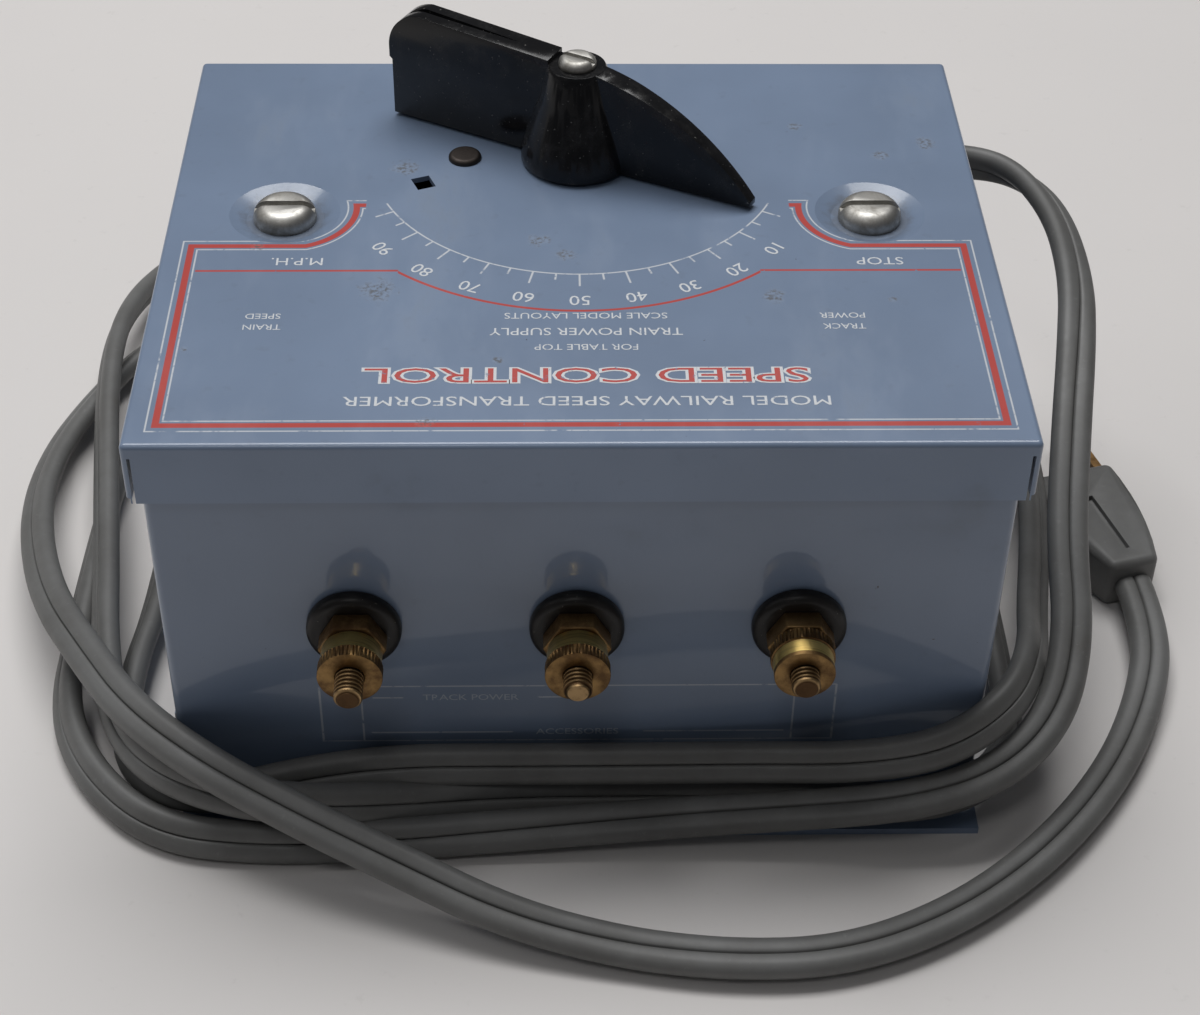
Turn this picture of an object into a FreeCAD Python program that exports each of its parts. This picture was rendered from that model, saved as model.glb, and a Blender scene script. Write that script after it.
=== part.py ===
import FreeCAD, Part
import Sketcher
import math
import os

# Tabletop control transformer for a model railway: a sheet metal case with a
# lift-off cover, a speed lever on top, three binding posts at the front, and a
# long flat cord with its plug.  Millimetres, +X right, +Y to the rear, +Z up.
# The origin is the middle of the base plate's underside.

doc = FreeCAD.newDocument("railway_controller")
Vector = FreeCAD.Vector
Z_AXIS = Vector(0, 0, 1)
Y_AXIS = Vector(0, 1, 0)

# ---------------------------------------------------------------- sizes
DIMENSIONS = {
    # case
    "cover_width": 127.0,
    "cover_depth": 104.4,
    "overall_height": 72.0,
    "sheet": 0.9,
    "front_skirt": 10.2,
    "side_skirt": 9.3,
    "side_play": 0.9,
    "front_play": 0.5,
    "corner_slit": 0.45,
    "bend_radius": 0.8,
    "base_sheet": 1.2,
    "flange_reach": 8.6,
    "lip_height": 14.5,
    "lip_setback": 4.3,
    "mount_hole_x": 38.0,
    "mount_hole_inset": 4.1,
    "mount_hole_radius": 2.2,
    # cover screws and their dimples
    "screw_x": 45.6,
    "screw_y": 5.5,
    "screw_radius": 2.4,
    "screw_head_radius": 4.9,
    "screw_head_height": 2.9,
    "screw_length": 9.0,
    "dimple_top_radius": 8.6,
    "dimple_flat_radius": 6.0,
    "dimple_depth": 1.1,
    # lever, shaft and wiper
    "shaft_y": 21.4,
    "shaft_radius": 3.175,
    "shaft_hole_radius": 4.3,
    "rest_angle": -28.5,
    "stop_radius": 25.4,
    "stop_angle": 21.5,
    "stop_width": 3.0,
    "stop_drop": 5.9,
    "rivet_x": 18.0,
    "rivet_radius": 1.55,
    "rivet_head_radius": 2.65,
    "knob_lift": 0.6,
    "knob_height": 17.0,
    "hub_radius": 9.0,
    "boss_radius": 4.75,
    "hub_recess_radius": 7.6,
    "hub_recess_depth": 3.3,
    "pointer_reach": 31.0,
    "tail_reach": 33.2,
    "tail_thickness": 4.8,
    "pointer_root": 3.6,
    "pointer_tip": 1.9,
    "running_gap": 0.04,
    "plate_sheet": 2.5,
    "bushing_radius": 4.1,
    "knob_screw_radius": 1.4,
    "knob_head_radius": 3.0,
    "arm_sheet": 0.8,
    "shoe_gap": 0.1,
    "arm_reach": 28.0,
    "arm_width": 5.0,
    "shoe_circle": 22.0,
    "shoe_radius": 2.1,
    # core and windings
    "core_y": 5.5,
    "core_z": 34.0,
    "leg_width": 28.0,
    "stack_height": 35.0,
    "window_length": 46.0,
    "window_width": 13.0,
    "tube_wall": 1.0,
    "primary_build": 6.8,
    "insulation": 0.4,
    "wire_size": 2.0,
    "turns": 22.0,
    "bracket_sheet": 1.5,
    "bracket_gap": 0.8,
    "bracket_width": 22.0,
    "bracket_reach": 13.5,
    "foot_rivet_radius": 1.55,
    "bolt_radius": 2.0,
    # binding posts
    "post_spacing": 32.7,
    "post_shift": -0.7,
    "post_z": 37.0,
    "stud_radius": 2.085,
    "stud_reach": 14.0,
    "post_washer_radius": 7.0,
    "post_washer": 2.2,
    "hex_nut_flats": 8.73,
    "hex_nut_height": 3.2,
    "thumb_nut_radius": 4.75,
    "thumb_nut_height": 5.2,
    "thumb_knurl_height": 2.1,
    "thumb_plain_drop": 0.3,
    "stud_bevel": 0.6,
    "nut_gap": 0.4,
    # cord and plug
    "cord_y": 44.0,
    "cord_z": 57.5,
    "cord_diameter": 4.6,
    "grommet_hole_radius": 4.2,
    "plug_x": 95.4,
    "plug_y": -7.0,
    "plug_angle": 106.0,
    "plug_length": 26.0,
    "plug_thickness": 9.5,
    "plug_end_width": 8.6,
    "plug_nose_width": 16.0,
    "blade_spacing": 12.7,
    "blade_width": 6.35,
    "blade_thickness": 1.52,
    "blade_length": 16.0,
}

sheet = doc.addObject("Spreadsheet::Sheet", "Sizes")
for row, (alias, number) in enumerate(DIMENSIONS.items(), start=1):
    sheet.set("A%d" % row, alias)
    sheet.set("B%d" % row, str(number))
    sheet.setAlias("B%d" % row, alias)
doc.recompute()


def size(alias):
    return float(sheet.get(alias))


def value(expression):
    return float(sheet.evalExpression(expression.replace("Sizes.", "")))


# Places that several pieces share, written once as expressions on the sheet.
TOP = "Sizes.overall_height"
UNDER = "(Sizes.overall_height - Sizes.sheet)"
BODY_WIDTH = "(Sizes.cover_width - 2 * Sizes.sheet - 2 * Sizes.side_play)"
BODY_DEPTH = "(Sizes.cover_depth - 2 * Sizes.sheet - 2 * Sizes.front_play)"
FLOOR = "Sizes.base_sheet"
CORE_END = "(Sizes.window_length / 2 + Sizes.leg_width / 2)"
CORE_SIDE = "(Sizes.leg_width + Sizes.window_width)"
STACK_TOP = "(Sizes.core_z + Sizes.stack_height / 2)"
STACK_FOOT = "(Sizes.core_z - Sizes.stack_height / 2)"
BUILD = "(Sizes.tube_wall + 0.3 + Sizes.primary_build + Sizes.insulation + Sizes.wire_size)"
TRACK = "(Sizes.core_z + Sizes.stack_height / 2 + %s)" % BUILD

WEB_X = "(%s + Sizes.bracket_gap)" % CORE_END
FOOT_X = "(%s + Sizes.bracket_sheet + 7)" % WEB_X
FOOT_Y = {"": "(Sizes.core_y + 12)", "-": "(Sizes.core_y - 12)"}
FRONT = "(0 - %s / 2)" % BODY_DEPTH
WALL = "(%s / 2)" % BODY_WIDTH

nodes = []


# ---------------------------------------------------------------- helpers
def bind(thing, **expressions):
    """Ties properties of a document object to cells of the sheet."""
    for name, expression in expressions.items():
        thing.setExpression(name.replace("__", "."), expression)
    return thing


def put(thing, x="0", y="0", z="0"):
    thing.setExpression("Placement.Base.x", "(%s) * 1 mm" % x)
    thing.setExpression("Placement.Base.y", "(%s) * 1 mm" % y)
    thing.setExpression("Placement.Base.z", "(%s) * 1 mm" % z)
    return thing


def box(name, length, width, height, x, y, z):
    """A box whose footprint is centred on x, y and whose underside is at z."""
    thing = doc.addObject("Part::Box", name)
    bind(thing, Length=length, Width=width, Height=height)
    return put(thing, "%s - (%s) / 2" % (x, length), "%s - (%s) / 2" % (y, width), z)


def rod(name, radius, height, x, y, z, axis="z"):
    """A cylinder that starts at x, y, z and runs along +Z, -Y or +X."""
    thing = doc.addObject("Part::Cylinder", name)
    bind(thing, Radius=radius, Height=height)
    put(thing, x, y, z)
    return turn(thing, axis)


def cone(name, radius_low, radius_high, height, x, y, z, axis="z"):
    thing = doc.addObject("Part::Cone", name)
    bind(thing, Radius1=radius_low, Radius2=radius_high, Height=height)
    put(thing, x, y, z)
    return turn(thing, axis)


def hexagon(name, flats, height, x, y, z, axis="z"):
    thing = doc.addObject("Part::Prism", name)
    thing.Polygon = 6
    bind(thing, Circumradius="(%s) / sqrt(3)" % flats, Height=height)
    put(thing, x, y, z)
    return turn(thing, axis)


def turn(thing, axis):
    if axis == "y":
        thing.Placement.Rotation = FreeCAD.Rotation(Vector(1, 0, 0), 90)
    if axis == "x":
        thing.Placement.Rotation = FreeCAD.Rotation(Y_AXIS, 90)
    return thing


def fuse(name, pieces):
    thing = doc.addObject("Part::MultiFuse", name)
    thing.Shapes = pieces
    return thing


def cut(name, base, tools):
    thing = doc.addObject("Part::Cut", name)
    thing.Base = base
    thing.Tool = tools[0] if len(tools) == 1 else fuse(name + "_cutters", tools)
    return thing


def group(name, pieces):
    """Like pieces that share one node and stay separate solids."""
    thing = doc.addObject("Part::Compound", name)
    thing.Links = pieces
    return thing


def node(thing, label):
    thing.Label = label
    nodes.append(thing)
    return thing


def origin_plane(body, role):
    return [item for item in body.Origin.OriginFeatures if item.Role == role][0]


def sketch_on(body, role, offset="0"):
    sketch = body.newObject("Sketcher::SketchObject", body.Name + "_sketch")
    sketch.AttachmentSupport = [(origin_plane(body, role), "")]
    sketch.MapMode = "FlatFace"
    sketch.setExpression("AttachmentOffset.Base.z", "(%s) * 1 mm" % offset)
    return sketch


def fix_point(sketch, geometry, end, x, y):
    """Holds one end of a line, or a circle's centre, at two sheet expressions."""
    for kind, expression in (("DistanceX", x), ("DistanceY", y)):
        number = sketch.addConstraint(Sketcher.Constraint(kind, -1, 1, geometry, end, value(expression)))
        sketch.setExpression("Constraints[%d]" % number, "(%s) * 1 mm" % expression)


def outline(sketch, corners):
    """A closed outline of straight edges through corners given as expressions."""
    count = len(corners)
    start = sketch.GeometryCount
    ring = [Vector(value(x), value(y), 0) for x, y in corners]
    for i in range(count):
        sketch.addGeometry(Part.LineSegment(ring[i], ring[(i + 1) % count]), False)
    for i in range(count):
        follower = start + (i + 1) % count
        sketch.addConstraint(Sketcher.Constraint("Coincident", start + i, 2, follower, 1))
    for i, (x, y) in enumerate(corners):
        fix_point(sketch, start + i, 1, x, y)


def rectangle(sketch, width, depth, x="0", y="0"):
    left, right = "%s - (%s) / 2" % (x, width), "%s + (%s) / 2" % (x, width)
    low, high = "%s - (%s) / 2" % (y, depth), "%s + (%s) / 2" % (y, depth)
    outline(sketch, [(left, low), (right, low), (right, high), (left, high)])


def hole_circle(sketch, radius, x, y):
    circle = Part.Circle(Vector(value(x), value(y), 0), Z_AXIS, value(radius))
    number = sketch.addGeometry(circle, False)
    fix_point(sketch, number, 3, x, y)
    tied = sketch.addConstraint(Sketcher.Constraint("Radius", number, value(radius)))
    sketch.setExpression("Constraints[%d]" % tied, "(%s) * 1 mm" % radius)


def pad(body, sketch, length, reverse=False, midplane=False):
    feature = body.newObject("PartDesign::Pad", body.Name + "_pad")
    feature.Profile = sketch
    feature.Reversed = reverse
    feature.Midplane = midplane
    feature.setExpression("Length", "(%s) * 1 mm" % length)
    return feature


def pocket(body, sketch, length, reverse=False):
    """Cuts the sketch's outline out, and makes sure that something was cut."""
    doc.recompute()
    before = body.Shape.Volume
    feature = body.newObject("PartDesign::Pocket", body.Name + "_pocket")
    feature.Profile = sketch
    feature.Reversed = reverse
    feature.setExpression("Length", "(%s) * 1 mm" % length)
    doc.recompute()
    if body.Shape.Volume > before - 1e-3:
        raise RuntimeError("%s cuts nothing" % feature.Name)
    return feature


def new_body(name):
    return doc.addObject("PartDesign::Body", name)


# ---------------------------------------------------------------- case
def make_base_plate():
    """Flat plate with a mounting flange front and rear and a low lip each side."""
    body = new_body("base_plate_body")
    plate = sketch_on(body, "XY_Plane")
    rectangle(plate, BODY_WIDTH, "%s + 2 * Sizes.flange_reach" % BODY_DEPTH)
    flange_y = "(%s / 2 + Sizes.flange_reach - Sizes.mount_hole_inset)" % BODY_DEPTH
    for side in ("", "-"):
        for end in ("", "-"):
            hole_circle(plate, "Sizes.mount_hole_radius", side + "Sizes.mount_hole_x", end + flange_y)
            hole_circle(plate, "Sizes.foot_rivet_radius", side + FOOT_X, FOOT_Y[end])
    pad(body, plate, FLOOR)
    for side in ("", "-"):
        lip = sketch_on(body, "XY_Plane")
        middle = "%s(%s / 2 + Sizes.sheet / 2)" % (side, BODY_WIDTH)
        rectangle(lip, "Sizes.sheet", "%s - 2 * Sizes.lip_setback" % BODY_DEPTH, middle)
        pad(body, lip, "Sizes.lip_height")
    return node(body, "base_plate")


def make_case_body():
    """Four walls of sheet metal, rounded at the corners, open above and below."""
    height = "%s - %s" % (UNDER, FLOOR)
    shell = box("case_block", BODY_WIDTH, BODY_DEPTH, height, "0", "0", FLOOR)
    doc.recompute()
    rounded = doc.addObject("Part::Fillet", "case_rounded")
    rounded.Base = shell
    corner = size("bend_radius") + size("sheet") / 2
    rounded.Edges = [(i, corner, corner) for i, edge in enumerate(shell.Shape.Edges, start=1)
                     if abs(edge.tangentAt(edge.FirstParameter).z) > 0.9]
    inner = box("case_room", "%s - 2 * Sizes.sheet" % BODY_WIDTH, "%s - 2 * Sizes.sheet" % BODY_DEPTH,
                "%s + 2" % height, "0", "0", "%s - 1" % FLOOR)
    cutters = [inner]
    for index in (-1, 0, 1):
        cutters.append(rod("post_hole", "4.9", "4 * Sizes.sheet", post_x(index),
                           "-%s / 2 + 2 * Sizes.sheet" % BODY_DEPTH, "Sizes.post_z", "y"))
    cutters.append(rod("cord_hole", "Sizes.grommet_hole_radius", "4 * Sizes.sheet",
                       "%s / 2 - 2 * Sizes.sheet" % BODY_WIDTH, "Sizes.cord_y", "Sizes.cord_z", "x"))
    return node(cut("case_walls", rounded, cutters), "case_body")


def post_x(index):
    return "Sizes.post_shift + %d * Sizes.post_spacing" % index


def make_cover():
    """Lid with turned-down skirts, two screw dimples and two lanced end stops."""
    block = box("cover_block", "Sizes.cover_width", "Sizes.cover_depth", "Sizes.front_skirt",
                "0", "0", "%s - Sizes.front_skirt" % TOP)
    doc.recompute()
    rounded = doc.addObject("Part::Fillet", "cover_rounded")
    rounded.Base = block
    bend = size("bend_radius")
    upper = size("overall_height") - 0.01
    rounded.Edges = [(i, bend, bend) for i, edge in enumerate(block.Shape.Edges, start=1)
                     if edge.BoundBox.ZMin > upper or abs(edge.tangentAt(edge.FirstParameter).z) > 0.9]
    room = box("cover_room", "Sizes.cover_width - 2 * Sizes.sheet", "Sizes.cover_depth - 2 * Sizes.sheet",
               "Sizes.front_skirt", "0", "0", "%s - Sizes.front_skirt" % UNDER)
    cutters = [room]
    for side in ("", "-"):
        edge_x = "%s(Sizes.cover_width / 2 - Sizes.sheet / 2)" % side
        cutters.append(box("skirt_trim", "Sizes.sheet + 0.02", "Sizes.cover_depth - 0.02",
                           "Sizes.front_skirt - Sizes.side_skirt", edge_x, "0", "%s - Sizes.front_skirt" % TOP))
        for end in ("", "-"):
            slit_x = "%s(Sizes.cover_width / 2 - Sizes.sheet - Sizes.corner_slit / 2)" % side
            slit_y = "%s(Sizes.cover_depth / 2 - Sizes.sheet / 2)" % end
            cutters.append(box("skirt_slit", "Sizes.corner_slit", "Sizes.sheet + 0.4",
                               "Sizes.front_skirt - 2.2", slit_x, slit_y, "%s - Sizes.front_skirt" % TOP))
    lid = cut("cover_shell", rounded, cutters)
    added = [lid]
    holes = []
    for side in ("", "-"):
        x = side + "Sizes.screw_x"
        added.append(cone("dish", "Sizes.dimple_flat_radius + 0.3", "Sizes.dimple_top_radius + 0.3",
                          "Sizes.dimple_depth", x, "Sizes.screw_y", "%s - Sizes.dimple_depth" % UNDER))
        holes.append(cone("dish_top", "Sizes.dimple_flat_radius", "Sizes.dimple_top_radius",
                          "Sizes.dimple_depth", x, "Sizes.screw_y", "%s - Sizes.dimple_depth" % TOP))
        holes.append(rod("screw_hole", "Sizes.screw_radius + 0.25", "4", x, "Sizes.screw_y", "%s - 3.5" % TOP))
        holes.append(rod("rivet_hole", "Sizes.rivet_radius", "3", side + "Sizes.rivet_x", "Sizes.shaft_y",
                         "%s - 2" % TOP))
    holes.append(rod("shaft_hole", "Sizes.shaft_hole_radius", "3", "0", "Sizes.shaft_y", "%s - 2" % TOP))
    for angle, beside in (("0 - Sizes.stop_angle", "2.15"), ("180 + Sizes.stop_angle", "0 - 2.15")):
        added.append(polar_box("stop_tab", angle, "Sizes.stop_radius", "Sizes.stop_width", "Sizes.sheet",
                               "Sizes.stop_drop", "%s - Sizes.stop_drop" % UNDER, "0"))
        holes.append(polar_box("stop_window", angle, "Sizes.stop_radius", "Sizes.stop_width", "3.4",
                               "3", "%s - 1" % UNDER, beside))
    return node(cut("cover_lid", fuse("cover_solid", added), holes), "top_cover")


def polar_box(name, angle, radius, length, width, height, z, aside):
    """A box laid along a ray from the lever's axis: radius to its middle, aside across the ray."""
    thing = doc.addObject("Part::Box", name)
    bind(thing, Length=length, Width=width, Height=height)
    turned = "((%s) * 1 deg)" % angle
    along = "((%s) - (%s) / 2)" % (radius, length)
    across = "((%s) - (%s) / 2)" % (aside, width)
    x = "%s * cos(%s) - %s * sin(%s)" % (along, turned, across, turned)
    y = "Sizes.shaft_y + %s * sin(%s) + %s * cos(%s)" % (along, turned, across, turned)
    put(thing, x, y, z)
    thing.Placement.Rotation = FreeCAD.Rotation(Z_AXIS, 1)
    thing.setExpression("Placement.Rotation.Angle", turned)
    return thing


def make_brackets():
    """Two uprights that clamp the core's ends and carry the cover's screws."""
    for label, side in (("end_bracket_right", ""), ("end_bracket_left", "-")):
        web = "%s(%s + Sizes.bracket_sheet / 2)" % (side, WEB_X)
        ear = "%s(%s + Sizes.bracket_reach / 2)" % (side, WEB_X)
        clamp = "%s(%s + Sizes.bracket_sheet - Sizes.bracket_reach / 2 - 1)" % (side, WEB_X)
        wide = "2 * %s - 2" % CORE_SIDE
        ear_top = "%s - Sizes.dimple_depth" % UNDER
        pieces = [
            box("web_wide", "Sizes.bracket_sheet", wide, "Sizes.stack_height + 2 * Sizes.bracket_sheet",
                web, "Sizes.core_y", "%s - Sizes.bracket_sheet" % STACK_FOOT),
            box("web_tall", "Sizes.bracket_sheet", "Sizes.bracket_width + 14",
                "%s - %s" % (STACK_TOP, FLOOR), web, "Sizes.core_y", FLOOR),
            box("web_neck", "Sizes.bracket_sheet", "Sizes.bracket_width",
                "%s - %s - 2" % (ear_top, FLOOR), web, "Sizes.core_y", "%s + 2" % FLOOR),
            box("foot", "Sizes.bracket_reach", "Sizes.bracket_width + 14", "Sizes.bracket_sheet",
                ear, "Sizes.core_y", FLOOR),
            box("ear", "Sizes.bracket_reach", "Sizes.bracket_width", "Sizes.bracket_sheet",
                ear, "Sizes.core_y", "%s - Sizes.bracket_sheet" % ear_top),
            box("clamp_upper", "Sizes.bracket_reach + 2", wide, "Sizes.bracket_sheet", clamp,
                "Sizes.core_y", STACK_TOP),
            box("clamp_lower", "Sizes.bracket_reach + 2", wide, "Sizes.bracket_sheet", clamp,
                "Sizes.core_y", "%s - Sizes.bracket_sheet" % STACK_FOOT)]
        holes = [rod("ear_hole", "Sizes.screw_radius", "6", side + "Sizes.screw_x", "Sizes.screw_y",
                     "%s - 4" % ear_top)]
        for y in FOOT_Y.values():
            holes.append(rod("foot_hole", "Sizes.foot_rivet_radius", "6", side + FOOT_X, y, "0"))
        for y in BOLT_Y:
            holes.append(rod("bolt_hole", "Sizes.bolt_radius", "Sizes.stack_height + 20",
                             side + BOLT_X, y, "%s - 10" % STACK_FOOT))
        node(cut(label + "_solid", fuse(label + "_sheet", pieces), holes), label)


BOLT_X = "(Sizes.window_length / 2 + Sizes.leg_width / 4)"
BOLT_Y = ("(Sizes.core_y + %s - Sizes.leg_width / 4)" % CORE_SIDE,
          "(Sizes.core_y - %s + Sizes.leg_width / 4)" % CORE_SIDE)


def round_head(name, radius, height, x, y, z, axis="z"):
    """A cylinder with its far rim rounded into a shallow dome."""
    head = rod(name + "_disc", radius, height, x, y, z, axis)
    doc.recompute()
    dome = doc.addObject("Part::Fillet", name)
    dome.Base = head
    far = {"z": Vector(0, 0, 1), "y": Vector(0, -1, 0), "x": Vector(1, 0, 0)}[axis]
    rims = [i for i, edge in enumerate(head.Shape.Edges, start=1) if len(edge.Vertexes) == 1]
    outer = max(rims, key=lambda i: head.Shape.Edges[i - 1].CenterOfMass.dot(far))
    round_off = 0.78 * float(head.Height)
    dome.Edges = [(outer, round_off, round_off)]
    return dome


def make_cover_screws():
    pieces = []
    for side in ("", "-"):
        x = side + "Sizes.screw_x"
        seat = "%s - Sizes.dimple_depth" % TOP
        shank = rod("screw_shank", "Sizes.screw_radius", "Sizes.screw_length + 0.5", x, "Sizes.screw_y",
                    "%s - Sizes.screw_length" % seat)
        head = round_head("screw_head", "Sizes.screw_head_radius", "Sizes.screw_head_height", x,
                          "Sizes.screw_y", seat)
        slot = box("screw_slot", "2 * Sizes.screw_head_radius + 1", "1.25", "2", x, "Sizes.screw_y",
                   "%s + Sizes.screw_head_height - 1.35" % seat)
        pieces.append(cut("cover_screw", fuse("screw_whole", [shank, head]), [slot]))
    node(group("cover_screw_pair", pieces), "cover_screws")


def make_rivets():
    """Foot rivets flush with the plate's underside, and the bearing plate's pair."""
    pieces = []
    for side in ("", "-"):
        for y in FOOT_Y.values():
            shank = rod("foot_shank", "Sizes.foot_rivet_radius", "%s + Sizes.bracket_sheet" % FLOOR,
                        side + FOOT_X, y, "0")
            head = round_head("foot_head", "2.6", "1.3", side + FOOT_X, y,
                              "%s + Sizes.bracket_sheet" % FLOOR)
            pieces.append(fuse("foot_rivet", [shank, head]))
    node(group("foot_rivets", pieces), "bracket_rivets")
    pieces = []
    for side in ("", "-"):
        x = side + "Sizes.rivet_x"
        shank = rod("plate_shank", "Sizes.rivet_radius", "Sizes.sheet + Sizes.plate_sheet", x,
                    "Sizes.shaft_y", "%s - Sizes.plate_sheet" % UNDER)
        upper = round_head("plate_head", "Sizes.rivet_head_radius", "0.9", x, "Sizes.shaft_y", TOP)
        lower = rod("plate_clinch", "2.2", "0.7", x, "Sizes.shaft_y", "%s - Sizes.plate_sheet - 0.7" % UNDER)
        pieces.append(fuse("plate_rivet", [shank, upper, lower]))
    node(group("plate_rivet_pair", pieces), "plate_rivets")


# ---------------------------------------------------------------- core and windings
def make_core():
    block = box("core_block", "2 * %s" % CORE_END, "2 * %s" % CORE_SIDE, "Sizes.stack_height", "0",
                "Sizes.core_y", STACK_FOOT)
    cutters = []
    for sign in ("+", "-"):
        cutters.append(box("core_window", "Sizes.window_length", "Sizes.window_width",
                           "Sizes.stack_height + 2", "0",
                           "Sizes.core_y %s (Sizes.leg_width + Sizes.window_width) / 2" % sign,
                           "%s - 1" % STACK_FOOT))
    for side in ("", "-"):
        for y in BOLT_Y:
            cutters.append(rod("core_hole", "Sizes.bolt_radius", "Sizes.stack_height + 2", side + BOLT_X,
                               y, "%s - 1" % STACK_FOOT))
    node(cut("core_stack", block, cutters), "lamination_stack")
    bolts = []
    nuts = []
    for side in ("", "-"):
        for y in BOLT_Y:
            x = side + BOLT_X
            top = "%s + Sizes.bracket_sheet" % STACK_TOP
            foot = "%s - Sizes.bracket_sheet" % STACK_FOOT
            shank = rod("bolt_shank", "Sizes.bolt_radius", "%s - %s + 4.2" % (top, foot), x, y,
                        "%s - 4.2" % foot)
            head = round_head("bolt_head", "3.6", "2.4", x, y, top)
            bolts.append(fuse("core_bolt", [shank, head]))
            nut = hexagon("bolt_hexagon", "7.9", "3", x, y, "%s - 3" % foot)
            nuts.append(cut("bolt_nut", nut, [rod("bolt_nut_hole", "Sizes.bolt_radius", "5", x, y,
                                                  "%s - 4" % foot)]))
    node(group("core_bolt_set", bolts), "core_bolts")
    node(group("core_nut_set", nuts), "core_nuts")


def sleeve(name, label, inner, outer, length):
    """A square tube round the middle leg; inner and outer are its distances from the leg."""
    body = new_body(name)
    ring = sketch_on(body, "YZ_Plane")
    for reach in (outer, inner):
        rectangle(ring, "Sizes.leg_width + 2 * (%s)" % reach, "Sizes.stack_height + 2 * (%s)" % reach,
                  "Sizes.core_y", "Sizes.core_z")
    pad(body, ring, length, midplane=True)
    return node(body, label)


def make_windings():
    tube = "0.3 + Sizes.tube_wall"
    primary = "%s + Sizes.primary_build" % tube
    wrapped = "%s + Sizes.insulation" % primary
    wound = "Sizes.turns * Sizes.wire_size"
    sleeve("tube_body", "winding_tube", "0.3", tube, "Sizes.window_length - 0.4")
    sleeve("primary_body", "primary_winding", tube, primary, wound)
    sleeve("insulation_body", "interlayer_insulation", primary, wrapped, wound)
    body = new_body("secondary_body")
    ring = sketch_on(body, "YZ_Plane", "0 - %s / 2" % wound)
    for reach in ("%s + Sizes.wire_size" % wrapped, wrapped):
        rectangle(ring, "Sizes.leg_width + 2 * (%s)" % reach, "Sizes.stack_height + 2 * (%s)" % reach,
                  "Sizes.core_y", "Sizes.core_z")
    turn_pad = pad(body, ring, "Sizes.wire_size")
    doc.recompute()
    edges = turn_pad.Shape.Edges
    reach_z = turn_pad.Shape.BoundBox.ZMax - 0.01
    low_z = turn_pad.Shape.BoundBox.ZMin + 0.01
    names = ["Edge%d" % i for i, edge in enumerate(edges, start=1)
             if edge.BoundBox.ZMin > reach_z or edge.BoundBox.ZMax < low_z]
    rounding = body.newObject("PartDesign::Fillet", "turn_rounding")
    rounding.Base = (turn_pad, names)
    rounding.setExpression("Radius", "0.34 * Sizes.wire_size * 1 mm")
    rows = body.newObject("PartDesign::LinearPattern", "turns")
    rows.Originals = [turn_pad, rounding]
    rows.Direction = (origin_plane(body, "X_Axis"), [""])
    rows.setExpression("Length", "(Sizes.turns - 1) * Sizes.wire_size * 1 mm")
    rows.Occurrences = int(size("turns"))
    body.Tip = rows
    node(body, "secondary_winding")


# ---------------------------------------------------------------- shaft, wiper and lever
PLATE_FOOT = "(%s - Sizes.plate_sheet)" % UNDER
ARM_FOOT = "(%s - Sizes.plate_sheet - 2.9)" % UNDER


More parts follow.
